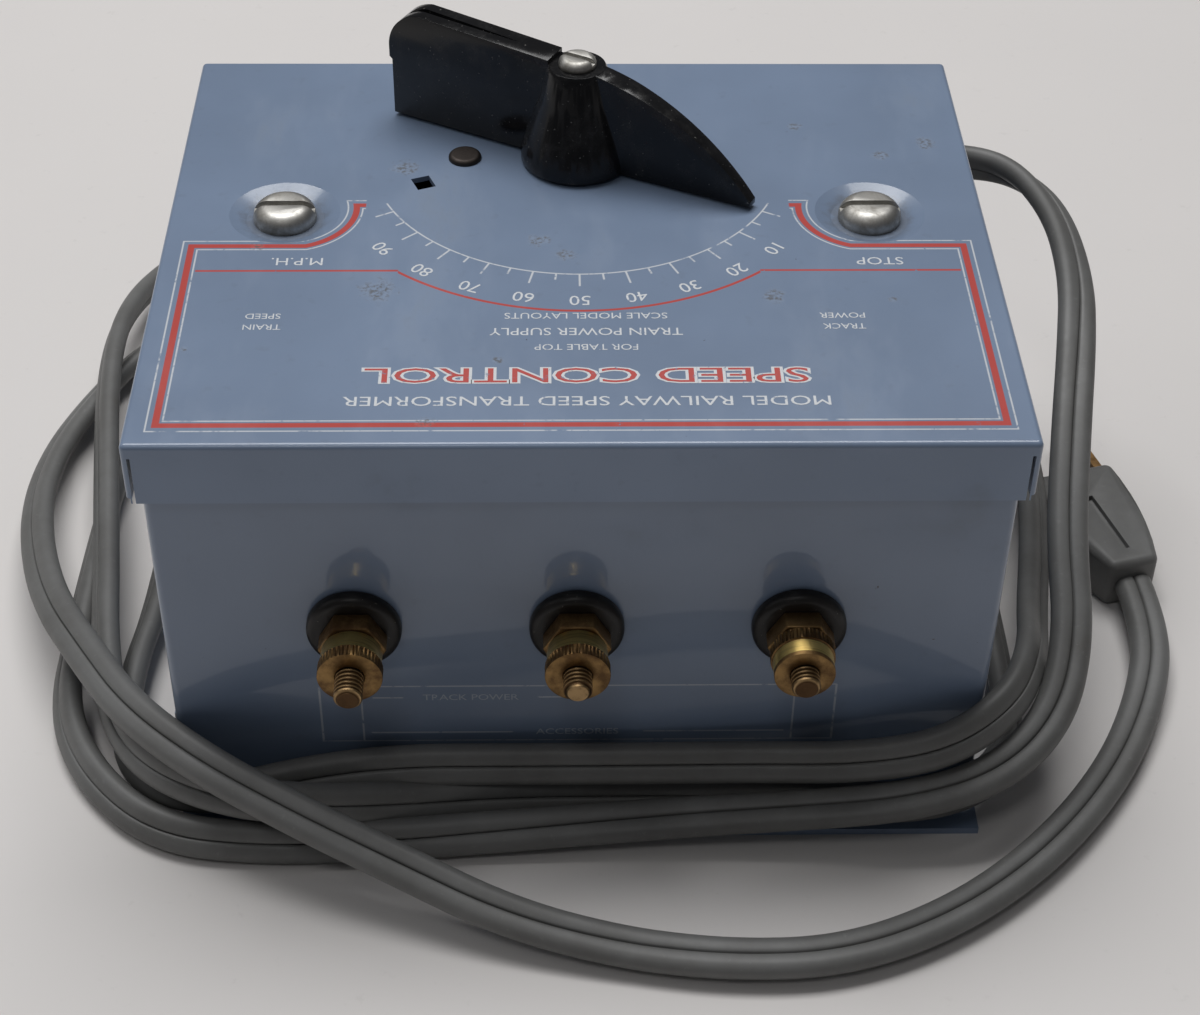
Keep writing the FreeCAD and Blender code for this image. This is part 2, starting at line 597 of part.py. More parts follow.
def make_wiper():
    """Shaft in its bushing, and the arm whose shoe wipes the bared top of the winding."""
    plate = box("plate_blank", "46", "16", "Sizes.plate_sheet", "0", "Sizes.shaft_y", PLATE_FOOT)
    holes = [rod("plate_bore", "Sizes.bushing_radius", "6", "0", "Sizes.shaft_y", "%s - 1" % PLATE_FOOT)]
    for side in ("", "-"):
        holes.append(rod("plate_hole", "Sizes.rivet_radius", "6", side + "Sizes.rivet_x",
                         "Sizes.shaft_y", "%s - 1" % PLATE_FOOT))
    node(cut("plate_solid", plate, holes), "bearing_plate")

    flange = rod("bushing_flange", "6", "0.8", "0", "Sizes.shaft_y", "%s - 0.8" % PLATE_FOOT)
    barrel = rod("bushing_barrel", "Sizes.bushing_radius", "%s - %s + 3.1" % (TOP, PLATE_FOOT), "0",
                 "Sizes.shaft_y", PLATE_FOOT)
    bore = rod("bushing_bore", "Sizes.shaft_radius + Sizes.running_gap", "20", "0", "Sizes.shaft_y",
               "%s - 5" % PLATE_FOOT)
    node(cut("bushing_solid", fuse("bushing_whole", [flange, barrel]), [bore]), "shaft_bushing")

    nut = hexagon("bushing_hexagon", "11.1", "2.3", "0", "Sizes.shaft_y", TOP)
    nut_bore = rod("bushing_nut_bore", "Sizes.bushing_radius", "5", "0", "Sizes.shaft_y", "%s - 1" % TOP)
    node(cut("bushing_nut_solid", nut, [nut_bore]), "bushing_nut")

    lug_foot = "%s - 1.3" % PLATE_FOOT
    ring = rod("lug_ring", "6", "0.5", "0", "Sizes.shaft_y", lug_foot)
    tail = box("lug_tail", "4", "12", "0.5", "0", "Sizes.shaft_y + 8", lug_foot)
    lug_bore = rod("lug_bore", "Sizes.shaft_radius + 0.4", "3", "0", "Sizes.shaft_y", "%s - 1" % lug_foot)
    node(cut("lug_solid", fuse("lug_whole", [ring, tail]), [lug_bore]), "collector_lug")

    washer_foot = "%s + Sizes.arm_sheet + 0.05" % ARM_FOOT
    washer = rod("washer_disc", "5.4", "0.7", "0", "Sizes.shaft_y", washer_foot)
    washer_bore = rod("washer_bore", "Sizes.shaft_radius + 0.15", "3", "0", "Sizes.shaft_y",
                      "%s - 1" % washer_foot)
    node(cut("washer_solid", washer, [washer_bore]), "spring_washer")

    shaft_foot = "%s - 3.2" % ARM_FOOT
    rod_shape = rod("shaft_rod", "Sizes.shaft_radius", "%s + 13 - (%s)" % (TOP, shaft_foot), "0",
                    "Sizes.shaft_y", shaft_foot)
    tapped = rod("shaft_tapping", "Sizes.knob_screw_radius", "9", "0", "Sizes.shaft_y", "%s + 5" % TOP)
    groove = rod("shaft_groove", "Sizes.shaft_radius + 1", "0.7", "0", "Sizes.shaft_y",
                 "%s - 2.8" % ARM_FOOT)
    core = rod("shaft_neck", "Sizes.shaft_radius - 0.7", "0.7", "0", "Sizes.shaft_y", "%s - 2.8" % ARM_FOOT)
    node(cut("shaft_solid", rod_shape, [tapped, cut("shaft_groove_ring", groove, [core])]), "control_shaft")

    clip = rod("clip_disc", "4.8", "0.6", "0", "Sizes.shaft_y", "%s - 2.75" % ARM_FOOT)
    clip_bore = rod("clip_bore", "Sizes.shaft_radius - 0.7", "3", "0", "Sizes.shaft_y", "%s - 4" % ARM_FOOT)
    clip_mouth = box("clip_mouth", "4.2", "6", "3", "0", "Sizes.shaft_y + 4", "%s - 4" % ARM_FOOT)
    node(cut("clip_solid", clip, [clip_bore, clip_mouth]), "shaft_clip")

    hub = rod("hub_disc", "5.6", "2.1", "0", "Sizes.shaft_y", "%s - 2.1" % ARM_FOOT)
    hub_bore = rod("hub_bore", "Sizes.shaft_radius", "5", "0", "Sizes.shaft_y", "%s - 3.5" % ARM_FOOT)
    node(cut("hub_solid", hub, [hub_bore]), "arm_hub")

    leaf = polar_box("arm_leaf", "Sizes.rest_angle", "Sizes.arm_reach / 2", "Sizes.arm_reach",
                     "Sizes.arm_width", "Sizes.arm_sheet", ARM_FOOT, "0")
    eye = rod("arm_eye", "6", "Sizes.arm_sheet", "0", "Sizes.shaft_y", ARM_FOOT)
    arm_bore = rod("arm_bore", "Sizes.shaft_radius", "5", "0", "Sizes.shaft_y", "%s - 1" % ARM_FOOT)
    node(cut("arm_solid", fuse("arm_whole", [leaf, eye]), [arm_bore]), "contact_arm")

    angle = "(Sizes.rest_angle * 1 deg)"
    shoe_x = "Sizes.shoe_circle * cos(%s)" % angle
    shoe_y = "Sizes.shaft_y + Sizes.shoe_circle * sin(%s)" % angle
    shoe_foot = "%s + Sizes.shoe_gap" % TRACK
    shoe = rod("shoe_rod", "Sizes.shoe_radius", "%s - (%s)" % (ARM_FOOT, shoe_foot), shoe_x, shoe_y, shoe_foot)
    doc.recompute()
    rounded = doc.addObject("Part::Fillet", "shoe_rounded")
    rounded.Base = shoe
    lowest = [i for i, edge in enumerate(shoe.Shape.Edges, start=1)
              if edge.BoundBox.ZMax < shoe.Shape.BoundBox.ZMin + 0.01]
    rounded.Edges = [(lowest[0], 0.9, 0.9)]
    node(rounded, "contact_shoe")


def lathe(body, corners):
    """Turns an outline of (radius, height) corners about the body's own Z axis."""
    profile = sketch_on(body, "XZ_Plane")
    outline(profile, corners)
    feature = body.newObject("PartDesign::Revolution", body.Name + "_turned")
    feature.Profile = profile
    feature.ReferenceAxis = (profile, ["V_Axis"])
    feature.Angle = 360
    return feature


def arc_outline(sketch, corners):
    """A closed outline; a corner given with a radius starts an arc that bulges outward."""
    count = len(corners)
    places = [Vector(value(c[0]), value(c[1]), 0) for c in corners]
    start = sketch.GeometryCount
    for i, corner in enumerate(corners):
        here = places[i]
        there = places[(i + 1) % count]
        if len(corner) == 2:
            sketch.addGeometry(Part.LineSegment(here, there), False)
            continue
        radius = value(corner[2])
        across = Vector(there.y - here.y, here.x - there.x, 0)
        half = across.Length / 2
        across.normalize()
        centre = (here + there) * 0.5 - across * math.sqrt(radius * radius - half * half)
        first = math.atan2(here.y - centre.y, here.x - centre.x)
        last = math.atan2(there.y - centre.y, there.x - centre.x)
        sketch.addGeometry(Part.ArcOfCircle(Part.Circle(centre, Z_AXIS, radius), first, last), False)
    for i, corner in enumerate(corners):
        follower = start + (i + 1) % count
        sketch.addConstraint(Sketcher.Constraint("Coincident", start + i, 2, follower, 1))
        if len(corner) == 3:
            number = sketch.addConstraint(Sketcher.Constraint("Radius", start + i, value(corner[2])))
            sketch.setExpression("Constraints[%d]" % number, "(%s) * 1 mm" % corner[2])
    for i, corner in enumerate(corners):
        fix_point(sketch, start + i, 1, corner[0], corner[1])


def make_knob():
    """Lever: a coned hub with a boss, a tapering pointer fin and a square-ended tail bar."""
    body = new_body("knob_body")
    foot = "Sizes.knob_lift"
    lathe(body, [("0", foot), ("Sizes.hub_radius", foot), ("Sizes.hub_radius", "%s + 1.4" % foot),
                 ("Sizes.hub_radius - 0.9", "%s + 4.6" % foot), ("Sizes.boss_radius + 1.2", "11.5"),
                 ("Sizes.boss_radius", "Sizes.knob_height - 0.6"),
                 ("Sizes.boss_radius - 0.3", "Sizes.knob_height"), ("0", "Sizes.knob_height")])
    fin = sketch_on(body, "XZ_Plane")
    arc_outline(fin, [("0", foot), ("Sizes.pointer_reach", foot),
                      ("Sizes.pointer_reach", "%s + 0.9" % foot, "44"),
                      ("Sizes.boss_radius - 0.8", "Sizes.knob_height"), ("0", "Sizes.knob_height")])
    pad(body, fin, "Sizes.pointer_root", midplane=True)
    for sign in ("", "-"):
        taper = sketch_on(body, "XY_Plane", foot + " - 1")
        root = "%s(Sizes.pointer_root / 2)" % sign
        tip = "%s(Sizes.pointer_tip / 2)" % sign
        wide = "%s(Sizes.pointer_root)" % sign
        outline(taper, [("Sizes.hub_radius + 0.5", root), ("Sizes.pointer_reach + 1", tip),
                        ("Sizes.pointer_reach + 1", wide), ("Sizes.hub_radius + 0.5", wide)])
        pocket(body, taper, "Sizes.knob_height + 3", reverse=True)
    bar = sketch_on(body, "XZ_Plane")
    seat = "0 - Sizes.knob_head_radius - 1"
    arc_outline(bar, [("0", foot), ("0", "Sizes.knob_height"), (seat, "Sizes.knob_height"),
                      (seat, "Sizes.knob_height + 0.8"),
                      ("0 - Sizes.tail_reach + 5.8", "Sizes.knob_height + 2.3", "6.6"),
                      ("0 - Sizes.tail_reach", "Sizes.knob_height - 3.9"),
                      ("0 - Sizes.tail_reach", "10.8"), ("0 - Sizes.tail_reach + 0.5", "10.4"),
                      ("0 - Sizes.tail_reach + 0.5", foot)])
    pad(body, bar, "Sizes.tail_thickness", midplane=True)
    groove = sketch_on(body, "XY_Plane", "Sizes.knob_height + 6")
    outline(groove, [("0 - 7", "0 - 0.1"), ("0 - 7", "0.1"), ("0 - Sizes.tail_reach - 1", "0.6"),
                     ("0 - Sizes.tail_reach - 1", "0 - 0.6")])
    pocket(body, groove, "4.8")
    recess = body.newObject("PartDesign::Groove", "knob_recess")
    well = sketch_on(body, "XZ_Plane")
    outline(well, [("0", "0"), ("Sizes.hub_recess_radius", "0"),
                   ("Sizes.hub_recess_radius", "%s + Sizes.hub_recess_depth" % foot),
                   ("Sizes.shaft_radius", "%s + Sizes.hub_recess_depth" % foot), ("Sizes.shaft_radius", "13"),
                   ("Sizes.knob_screw_radius", "13"), ("Sizes.knob_screw_radius", "Sizes.knob_height + 2"),
                   ("0", "Sizes.knob_height + 2")])
    recess.Profile = well
    recess.ReferenceAxis = (well, ["V_Axis"])
    recess.Angle = 360
    body.Tip = recess
    body.Placement = FreeCAD.Placement(Vector(0, 0, 0), FreeCAD.Rotation(Z_AXIS, 1))
    body.setExpression("Placement.Rotation.Angle", "Sizes.rest_angle * 1 deg")
    put(body, "0", "Sizes.shaft_y", TOP)
    node(body, "control_knob")

    top = "%s + Sizes.knob_height" % TOP
    shank = rod("knob_shank", "Sizes.knob_screw_radius", "9.5", "0", "Sizes.shaft_y", "%s - 9" % top)
    head = round_head("knob_head", "Sizes.knob_head_radius", "1.5", "0", "Sizes.shaft_y", top)
    slot = polar_box("knob_slot", "Sizes.rest_angle", "0", "8", "0.9", "2", "%s + 0.7" % top, "0")
    node(cut("knob_screw_solid", fuse("knob_screw_whole", [shank, head]), [slot]), "knob_screw")


# ---------------------------------------------------------------- binding posts
def stud_y(distance):
    """A station on a stud, measured outward from the case's front face."""
    return "%s - (%s)" % (FRONT, distance)


def post_ring(name, radius, thickness, index, start, bore="Sizes.stud_radius"):
    """A disc round a stud, and the tool that bores it."""
    disc = rod(name, radius, thickness, post_x(index), stud_y(start), "Sizes.post_z", "y")
    hole = rod(name + "_hole", bore, "(%s) + 2" % thickness, post_x(index), stud_y("(%s) - 1" % start),
               "Sizes.post_z", "y")
    return disc, hole


def make_posts():
    """Three insulated studs through the front wall, each with its hardware on both sides."""
    outer_nut = "Sizes.post_washer"
    thumb = "Sizes.post_washer + Sizes.hex_nut_height + Sizes.nut_gap"
    inner_nut = "0 - Sizes.sheet - 1.6 - 0.5 - 2.6"
    sets = {"terminal_studs": [], "outer_washers": [], "inner_washers": [], "outer_nuts": [],
            "inner_nuts": [], "solder_lugs": []}
    extra = {-1: "1.6", 0: "0.4", 1: "0"}
    for index in (-1, 0, 1):
        x = post_x(index)
        length = "Sizes.stud_reach + %s + Sizes.sheet + 6.4" % extra[index]
        stud = rod("stud", "Sizes.stud_radius", length, x, stud_y("0 - Sizes.sheet - 6.4"),
                   "Sizes.post_z", "y")
        doc.recompute()
        bevel = doc.addObject("Part::Chamfer", "stud_bevel")
        bevel.Base = stud
        rims = [i for i, edge in enumerate(stud.Shape.Edges, start=1) if len(edge.Vertexes) == 1]
        bevel.Edges = [(i, size("stud_bevel"), size("stud_bevel")) for i in rims]
        sets["terminal_studs"].append(bevel)

        disc = rod("washer_disc", "Sizes.post_washer_radius", "Sizes.post_washer", x, stud_y("0"),
                   "Sizes.post_z", "y")
        neck = rod("washer_neck", "4.8", "Sizes.sheet", x, stud_y("0 - Sizes.sheet"), "Sizes.post_z", "y")
        bore = rod("washer_bore", "Sizes.stud_radius + 0.1", "8", x, stud_y("0 - 3"), "Sizes.post_z", "y")
        doc.recompute()
        soft = doc.addObject("Part::Fillet", "washer_soft")
        soft.Base = disc
        outer = min((i for i, edge in enumerate(disc.Shape.Edges, start=1) if len(edge.Vertexes) == 1),
                    key=lambda i: disc.Shape.Edges[i - 1].CenterOfMass.y)
        soft.Edges = [(outer, 1.2, 1.2)]
        sets["outer_washers"].append(cut("outer_washer", fuse("outer_washer_whole", [soft, neck]), [bore]))

        disc, hole = post_ring("inner_disc", "Sizes.post_washer_radius", "1.6", index,
                               "0 - Sizes.sheet - 1.6", "Sizes.stud_radius + 0.1")
        sets["inner_washers"].append(cut("inner_washer", disc, [hole]))

        disc, hole = post_ring("lug_disc", "4", "0.5", index, "0 - Sizes.sheet - 2.1")
        tongue = box("lug_tongue", "3", "0.5", "9", x, stud_y("0 - Sizes.sheet - 1.85"),
                     "Sizes.post_z + 2.5")
        sets["solder_lugs"].append(cut("lug", fuse("lug_whole", [disc, tongue]), [hole]))

        nut = hexagon("inner_hexagon", "Sizes.hex_nut_flats", "2.6", x, stud_y(inner_nut), "Sizes.post_z", "y")
        bore = rod("inner_bore", "Sizes.stud_radius", "5", x, stud_y("%s - 1" % inner_nut), "Sizes.post_z", "y")
        sets["inner_nuts"].append(cut("inner_nut", nut, [bore]))

        nut = hexagon("outer_hexagon", "Sizes.hex_nut_flats", "Sizes.hex_nut_height", x, stud_y(outer_nut),
                      "Sizes.post_z", "y")
        bore = rod("outer_bore", "Sizes.stud_radius", "6", x, stud_y("%s - 1" % outer_nut),
                   "Sizes.post_z", "y")
        sets["outer_nuts"].append(cut("outer_nut", nut, [bore]))

        smooth_in = index < 1
        plain_length = "(Sizes.thumb_nut_height - Sizes.thumb_knurl_height)"
        knurl_start = "%s + %s" % (thumb, plain_length) if smooth_in else thumb
        plain_start = thumb if smooth_in else "%s + Sizes.thumb_knurl_height" % thumb
        knurl = rod("thumb_knurl", "Sizes.thumb_nut_radius", "Sizes.thumb_knurl_height", x,
                    stud_y(knurl_start), "Sizes.post_z", "y")
        plain = rod("thumb_plain", "Sizes.thumb_nut_radius - Sizes.thumb_plain_drop", plain_length, x,
                    stud_y(plain_start), "Sizes.post_z", "y")
        bore = rod("thumb_bore", "Sizes.stud_radius + Sizes.running_gap", "9", x,
                   stud_y("%s - 1" % thumb), "Sizes.post_z", "y")
        place = {-1: "left", 0: "middle", 1: "right"}[index]
        node(cut("thumb_" + place, fuse("thumb_whole", [knurl, plain]), [bore]), "thumb_nut_" + place)
    for label, pieces in sets.items():
        node(group(label + "_set", pieces), label)


# ---------------------------------------------------------------- thermal breaker
def make_breaker():
    """A bimetal cut-out riveted to the right-hand bracket, its contacts held closed."""
    face = "(%s + Sizes.bracket_sheet)" % WEB_X
    y = "Sizes.core_y"
    block = box("breaker_block", "4", "20", "30", face + " + 2", y, "20")
    node(block, "breaker_base")
    foot = box("bimetal_foot", "0.6", "8", "8", face + " + 4.3", y, "41")
    step = box("bimetal_step", "3.2", "8", "0.6", face + " + 5.6", y, "41")
    strip = box("bimetal_strip", "0.6", "8", "19.6", face + " + 6.9", y, "22")
    node(fuse("bimetal_whole", [foot, step, strip]), "breaker_bimetal")
    terminal = box("terminal_strip", "0.6", "8", "12", face + " + 4.3", y, "21")
    node(terminal, "breaker_terminal")
    contacts = [rod("fixed_contact", "2", "1", face + " + 4.6", y, "30", "x"),
                rod("moving_contact", "2", "1", face + " + 5.6", y, "30", "x")]
    node(group("contact_pair", contacts), "breaker_contacts")
    screws = [round_head("breaker_screw", "2", "1.3", face + " + 4.6", y, z, "x") for z in ("45.6", "23.6")]
    node(group("breaker_screw_pair", screws), "breaker_screws")


# ---------------------------------------------------------------- cord, leads and plug
def tube(points, radius, name):
    """A round solid along straight runs joined by tangent arcs."""
    places = [Vector(*p) for p in points]
    count = len(places)
    runs = [(places[i + 1] - places[i]).Length for i in range(count - 1)]
    edges = []
    radii = []
    last = places[0]
    for i in range(1, count - 1):
        before = (places[i] - places[i - 1]).normalize()
        after = (places[i + 1] - places[i]).normalize()
        half = before.getAngle(after) / 2
        trim = 0.45 * min(runs[i - 1], runs[i])
        bend = trim / math.tan(half)
        start = places[i] - before * trim
        end = places[i] + after * trim
        inward = (after - before).normalize()
        centre = places[i] + inward * (bend / math.cos(half))
        middle = centre - inward * bend
        edges.append(Part.LineSegment(last, start).toShape())
        edges.append(Part.Arc(start, middle, end).toShape())
        radii.append((round(bend, 1), i))
        last = end
    edges.append(Part.LineSegment(last, places[-1]).toShape())
    path = Part.Wire(edges)
    section = Part.Wire([Part.Circle(places[0], places[1] - places[0], radius).toShape()])
    solid = path.makePipeShell([section], True, False)
    ideal = math.pi * radius * radius * path.Length
    print("%s: length %.1f mm, volume/ideal %.4f" % (name, path.Length, solid.Volume / ideal))
    print("   tightest radii (mm, point): %s" % sorted(radii)[:8])
    if not solid.isValid() or abs(solid.Volume / ideal - 1) > 0.01:
        raise RuntimeError(name + " is not a clean tube")
    return solid


def shape_node(shape, name, label):
    thing = doc.addObject("Part::Feature", name)
    thing.Shape = shape
    return node(thing, label)


CORD_ROUTE = [
    (67.6, 44, 57.6), (76.5, 40.5, 57), (82.3, 32.1, 54), (84.3, 20.6, 48.6), (82.9, 9, 44.2),
    (80, -7, 38.3), (77.4, -24, 30), (77.2, -38.5, 22.4), (73, -51, 17), (63.5, -59.6, 13.4),
    (50, -62, 10.3), (35, -61, 7.5), (15, -60.6, 5.6), (-8, -61.4, 4), (-30, -62.6, 3),
    (-48, -63.4, 3), (-65, -61, 3), (-77.2, -48.8, 3), (-83.4, -34, 3), (-83.6, -15, 3),
    (-83.3, 5, 3), (-82.6, 25, 3), (-80, 42, 3), (-73, 56.5, 3), (-61, 66.5, 3), (-44, 70.8, 3),
    (-22, 71.4, 3), (2, 71.2, 3), (26, 71.4, 3), (48, 71, 3), (64, 66.8, 3.4), (75, 57.4, 5),
    (79.6, 44.5, 8.6), (80.2, 31, 11.6), (80, 17, 13.2), (78.6, 2, 14), (76, -13.5, 15.2),
    (73, -27.5, 17.5), (70.8, -40.5, 20.3), (65.6, -51.8, 20.8), (55.5, -57.6, 17.2),
    (42.5, -57, 13.6), (26, -55.2, 12), (7, -54.6, 11.2), (-12, -54.4, 11), (-28, -54, 10.6),
    (-42, -54.4, 8.6), (-53, -56.4, 7), (-63, -54.6, 5.6), (-70.4, -47.2, 4), (-73, -36.4, 3),
    (-73, -24.5, 3), (-71.4, -12.5, 3), (-70.7, 4, 3), (-70.4, 20.5, 3), (-70.4, 36, 3),
    (-67.5, 50, 3), (-58.5, 60.6, 4.2), (-44, 64.6, 3.8), (-26, 65, 3.8), (-6, 65.5, 3.8),
    (14, 65.2, 3.8), (33, 65.4, 3.8), (48.5, 65, 3.8), (61.2, 60.4, 4.2), (69.2, 50, 3),
    (71, 36, 3), (70.3, 17, 3), (69.8, 0, 3), (69.8, -17, 3), (69.6, -31, 3.4), (68.8, -42.6, 5.2),
    (65, -52.6, 6.6), (56.4, -58, 6.6), (44.6, -58, 5.4), (32.6, -55.6, 4.6), (21, -54.5, 4.2),
    (3, -54.3, 4.1), (-12, -55, 4.6), (-26, -57.6, 6.2), (-40, -60.5, 8.8), (-54, -60.8, 11),
    (-66.8, -53.8, 11), (-73.6, -41, 9), (-77, -26, 9), (-79.2, -9, 9), (-81.6, 8, 9),
    (-84, 25, 9.2), (-86, 41.5, 10.2), (-86.8, 57.5, 10), (-85.6, 73, 7.4), (-81, 88, 4.2),
    (-71.5, 101.5, 3), (-57.5, 112, 3), (-40, 120.4, 3), (-21, 122.5, 3), (-3, 117.5, 3),
    (6, 103, 3), (1, 88, 3), (-12, 80.5, 3), (-28, 79.4, 3), (-45, 79.8, 3), (-61, 77.8, 3),
    (-75, 70.6, 3), (-84.5, 59, 3), (-90.4, 45, 3.4), (-94.3, 30.5, 4.4), (-95, 14.5, 6),
    (-92, -2, 8.4), (-86.6, -18, 11.4), (-79, -32, 14.4), (-70, -46.6, 15.8), (-57.5, -58.6, 16.4),
    (-42.5, -67, 13.9), (-27, -73.2, 9.6), (-12, -79.4, 5.6), (4, -83.4, 3.3), (21, -86.2, 3),
    (38.5, -85.6, 3), (55.5, -78.4, 3), (71, -66.2, 3), (84, -50.5, 3), (92.5, -34, 3.4),
    (96.6, -19, 4.4),
]


def make_cord():
    """Flat cord's round stand-in along its route, and the grommet that it leaves through."""
    start = (value(WALL) - 5.0, size("cord_y"), size("cord_z"))
    end = (size("plug_x"), size("plug_y"), size("plug_thickness") / 2)
    shape_node(tube([start] + CORD_ROUTE + [end], size("cord_diameter") / 2, "power_cord"),
               "cord_tube", "power_cord")

    lip = rod("grommet_lip", "4.9", "1.8", WALL, "Sizes.cord_y", "Sizes.cord_z", "x")
    waist = rod("grommet_waist", "Sizes.grommet_hole_radius", "Sizes.sheet", "%s - Sizes.sheet" % WALL,
                "Sizes.cord_y", "Sizes.cord_z", "x")
    inner = rod("grommet_inner", "5.2", "1.8", "%s - Sizes.sheet - 1.8" % WALL, "Sizes.cord_y",
                "Sizes.cord_z", "x")
    bore = rod("grommet_bore", "Sizes.cord_diameter / 2", "12", "%s - 7" % WALL, "Sizes.cord_y",
               "Sizes.cord_z", "x")
    node(cut("grommet_solid", fuse("grommet_whole", [lip, waist, inner]), [bore]), "cord_grommet")


def make_leads():
    """Sleeved leads from the posts to the winding and to the wiper, and from the cord to the breaker."""
    front = value(FRONT)
    post_z = size("post_z") + 9.5
    lug_y = front + size("sheet") + 2.1 + 0.9
    coil_front = size("core_y") - size("leg_width") / 2 - value(BUILD)
    coil_back = size("core_y") + size("leg_width") / 2 + value(BUILD)
    gauge = 0.9
    right, middle, left = (value(post_x(index)) for index in (1, 0, -1))
    wires = [
        [(right, lug_y, post_z), (right - 1, lug_y + 4, post_z + 8), (right - 9, lug_y + 13, post_z + 11.5),
         (17, coil_front - 6, post_z + 11.5), (16, coil_front, post_z + 10.5)],
        [(left, lug_y, post_z), (left + 1, lug_y + 4, post_z + 8), (left + 9, lug_y + 13, post_z + 11.5),
         (-17, coil_front - 6, post_z + 11.5), (-16, coil_front, post_z + 10.5)],
        [(middle, lug_y, post_z), (middle + 2, lug_y + 3, post_z + 8), (middle + 15, lug_y + 9, post_z + 13),
         (28, -24, 61), (33, -8, 62), (33.5, 14, 62), (31, 32, 62), (20, 38.5, 63.5), (11, 38.5, 66.4),
         (4.5, 35.5, 68.4), (0.8, 32.5, 68.9)]]
    shape_node(Part.Compound([tube(wire, gauge, "post lead") for wire in wires]), "post_lead_set", "post_leads")
    inside = value(WALL) - 5.0
    cord_y, cord_z = size("cord_y"), size("cord_z")
    bracket = value("%s + Sizes.bracket_sheet" % WEB_X)
    wires = [
        [(inside, cord_y - 1.2, cord_z), (inside - 4, cord_y - 3, cord_z - 1), (bracket + 11, cord_y - 14, 52),
         (bracket + 7.5, 20, 48), (bracket + 4.6 + gauge, 9.0, 47.5)],
        [(inside, cord_y + 1.2, cord_z), (inside - 8, cord_y + 2.2, cord_z), (38, cord_y + 2, cord_z + 1),
         (24, cord_y - 3, cord_z + 1.5), (17, coil_back + 4, cord_z), (16, coil_back, cord_z - 1.5)]]
    shape_node(Part.Compound([tube(wire, gauge, "primary lead") for wire in wires]), "primary_lead_set",
               "primary_leads")


def make_plug():
    """Moulded two-blade plug lying on the floor, wider at its blades than at its cord."""
    body = new_body("plug_moulding")
    profile = sketch_on(body, "XY_Plane")
    half_end = "(Sizes.plug_end_width / 2)"
    half_nose = "(Sizes.plug_nose_width / 2)"
    arc_outline(profile, [("0", "0 - " + half_end, "60"), ("Sizes.plug_length", "0 - " + half_nose),
                          ("Sizes.plug_length", half_nose, "60"), ("0", half_end)])
    moulding = pad(body, profile, "Sizes.plug_thickness")
    doc.recompute()
    names = ["Edge%d" % i for i, edge in enumerate(moulding.Shape.Edges, start=1)
             if abs(edge.tangentAt(edge.FirstParameter).z) > 0.9]
    rounding = body.newObject("PartDesign::Fillet", "plug_corners")
    rounding.Base = (moulding, names)
    rounding.setExpression("Radius", "1.6 mm")
    doc.recompute()
    names = ["Edge%d" % i for i, edge in enumerate(rounding.Shape.Edges, start=1)
             if edge.BoundBox.ZLength < 0.01]
    softening = body.newObject("PartDesign::Fillet", "plug_softening")
    softening.Base = (rounding, names)
    softening.setExpression("Radius", "1.4 mm")
    slot = sketch_on(body, "XY_Plane", "Sizes.plug_thickness")
    rectangle(slot, "0.55 * Sizes.plug_length", "1.3", "0.42 * Sizes.plug_length", "0")
    pocket(body, slot, "0.9")
    tools = []
    for sign in ("", "-"):
        cavity = sketch_on(body, "YZ_Plane", "Sizes.plug_length - 9")
        rectangle(cavity, "Sizes.blade_thickness", "Sizes.blade_width", sign + "(Sizes.blade_spacing / 2)",
                  "Sizes.plug_thickness / 2")
        pocket(body, cavity, "12", reverse=True)
    place_plug(body)
    node(body, "plug_body")
    for sign in ("", "-"):
        blade = box("plug_blade", "Sizes.blade_length + 9", "Sizes.blade_thickness", "Sizes.blade_width",
                    "Sizes.plug_length - 9 + (Sizes.blade_length + 9) / 2", sign + "Sizes.blade_spacing / 2",
                    "(Sizes.plug_thickness - Sizes.blade_width) / 2")
        eye = rod("blade_hole", "1.6", "4", "Sizes.plug_length + Sizes.blade_length - 4.2",
                  sign + "Sizes.blade_spacing / 2 + 2", "Sizes.plug_thickness / 2", "y")
        tools.append(cut("blade_solid", blade, [eye]))
    blades = group("blade_pair", tools)
    place_plug(blades)
    node(blades, "plug_blades")


def place_plug(thing):
    thing.Placement = FreeCAD.Placement(Vector(0, 0, 0), FreeCAD.Rotation(Z_AXIS, 1))
    thing.setExpression("Placement.Rotation.Angle", "Sizes.plug_angle * 1 deg")
    put(thing, "Sizes.plug_x", "Sizes.plug_y", "0")


def write_parts():
    doc.recompute()
    for thing in doc.Objects:
        if "Invalid" in thing.State or "Error" in thing.State:
            raise RuntimeError("%s is %s" % (thing.Name, thing.State))
    os.makedirs("parts", exist_ok=True)
    for thing in nodes:
        shape = thing.Shape
        if shape.isNull() or not shape.isValid() or shape.Volume <= 0:
            raise RuntimeError("%s has no sound shape" % thing.Label)
        shape.exportStep("parts/%s.step" % thing.Label)
    print("%d nodes, %d solids" % (len(nodes), sum(len(thing.Shape.Solids) for thing in nodes)))


make_base_plate()
make_case_body()
make_cover()
make_brackets()
make_cover_screws()
make_rivets()
make_core()
make_windings()
make_wiper()
make_knob()
make_posts()
make_breaker()
make_cord()
make_leads()
make_plug()
write_parts()
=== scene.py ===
import math

import bpy
import bmesh
from bpy.props import FloatProperty, FloatVectorProperty, IntProperty, PointerProperty
from bpy.types import Operator, Panel, PropertyGroup
from mathutils import Matrix, Vector


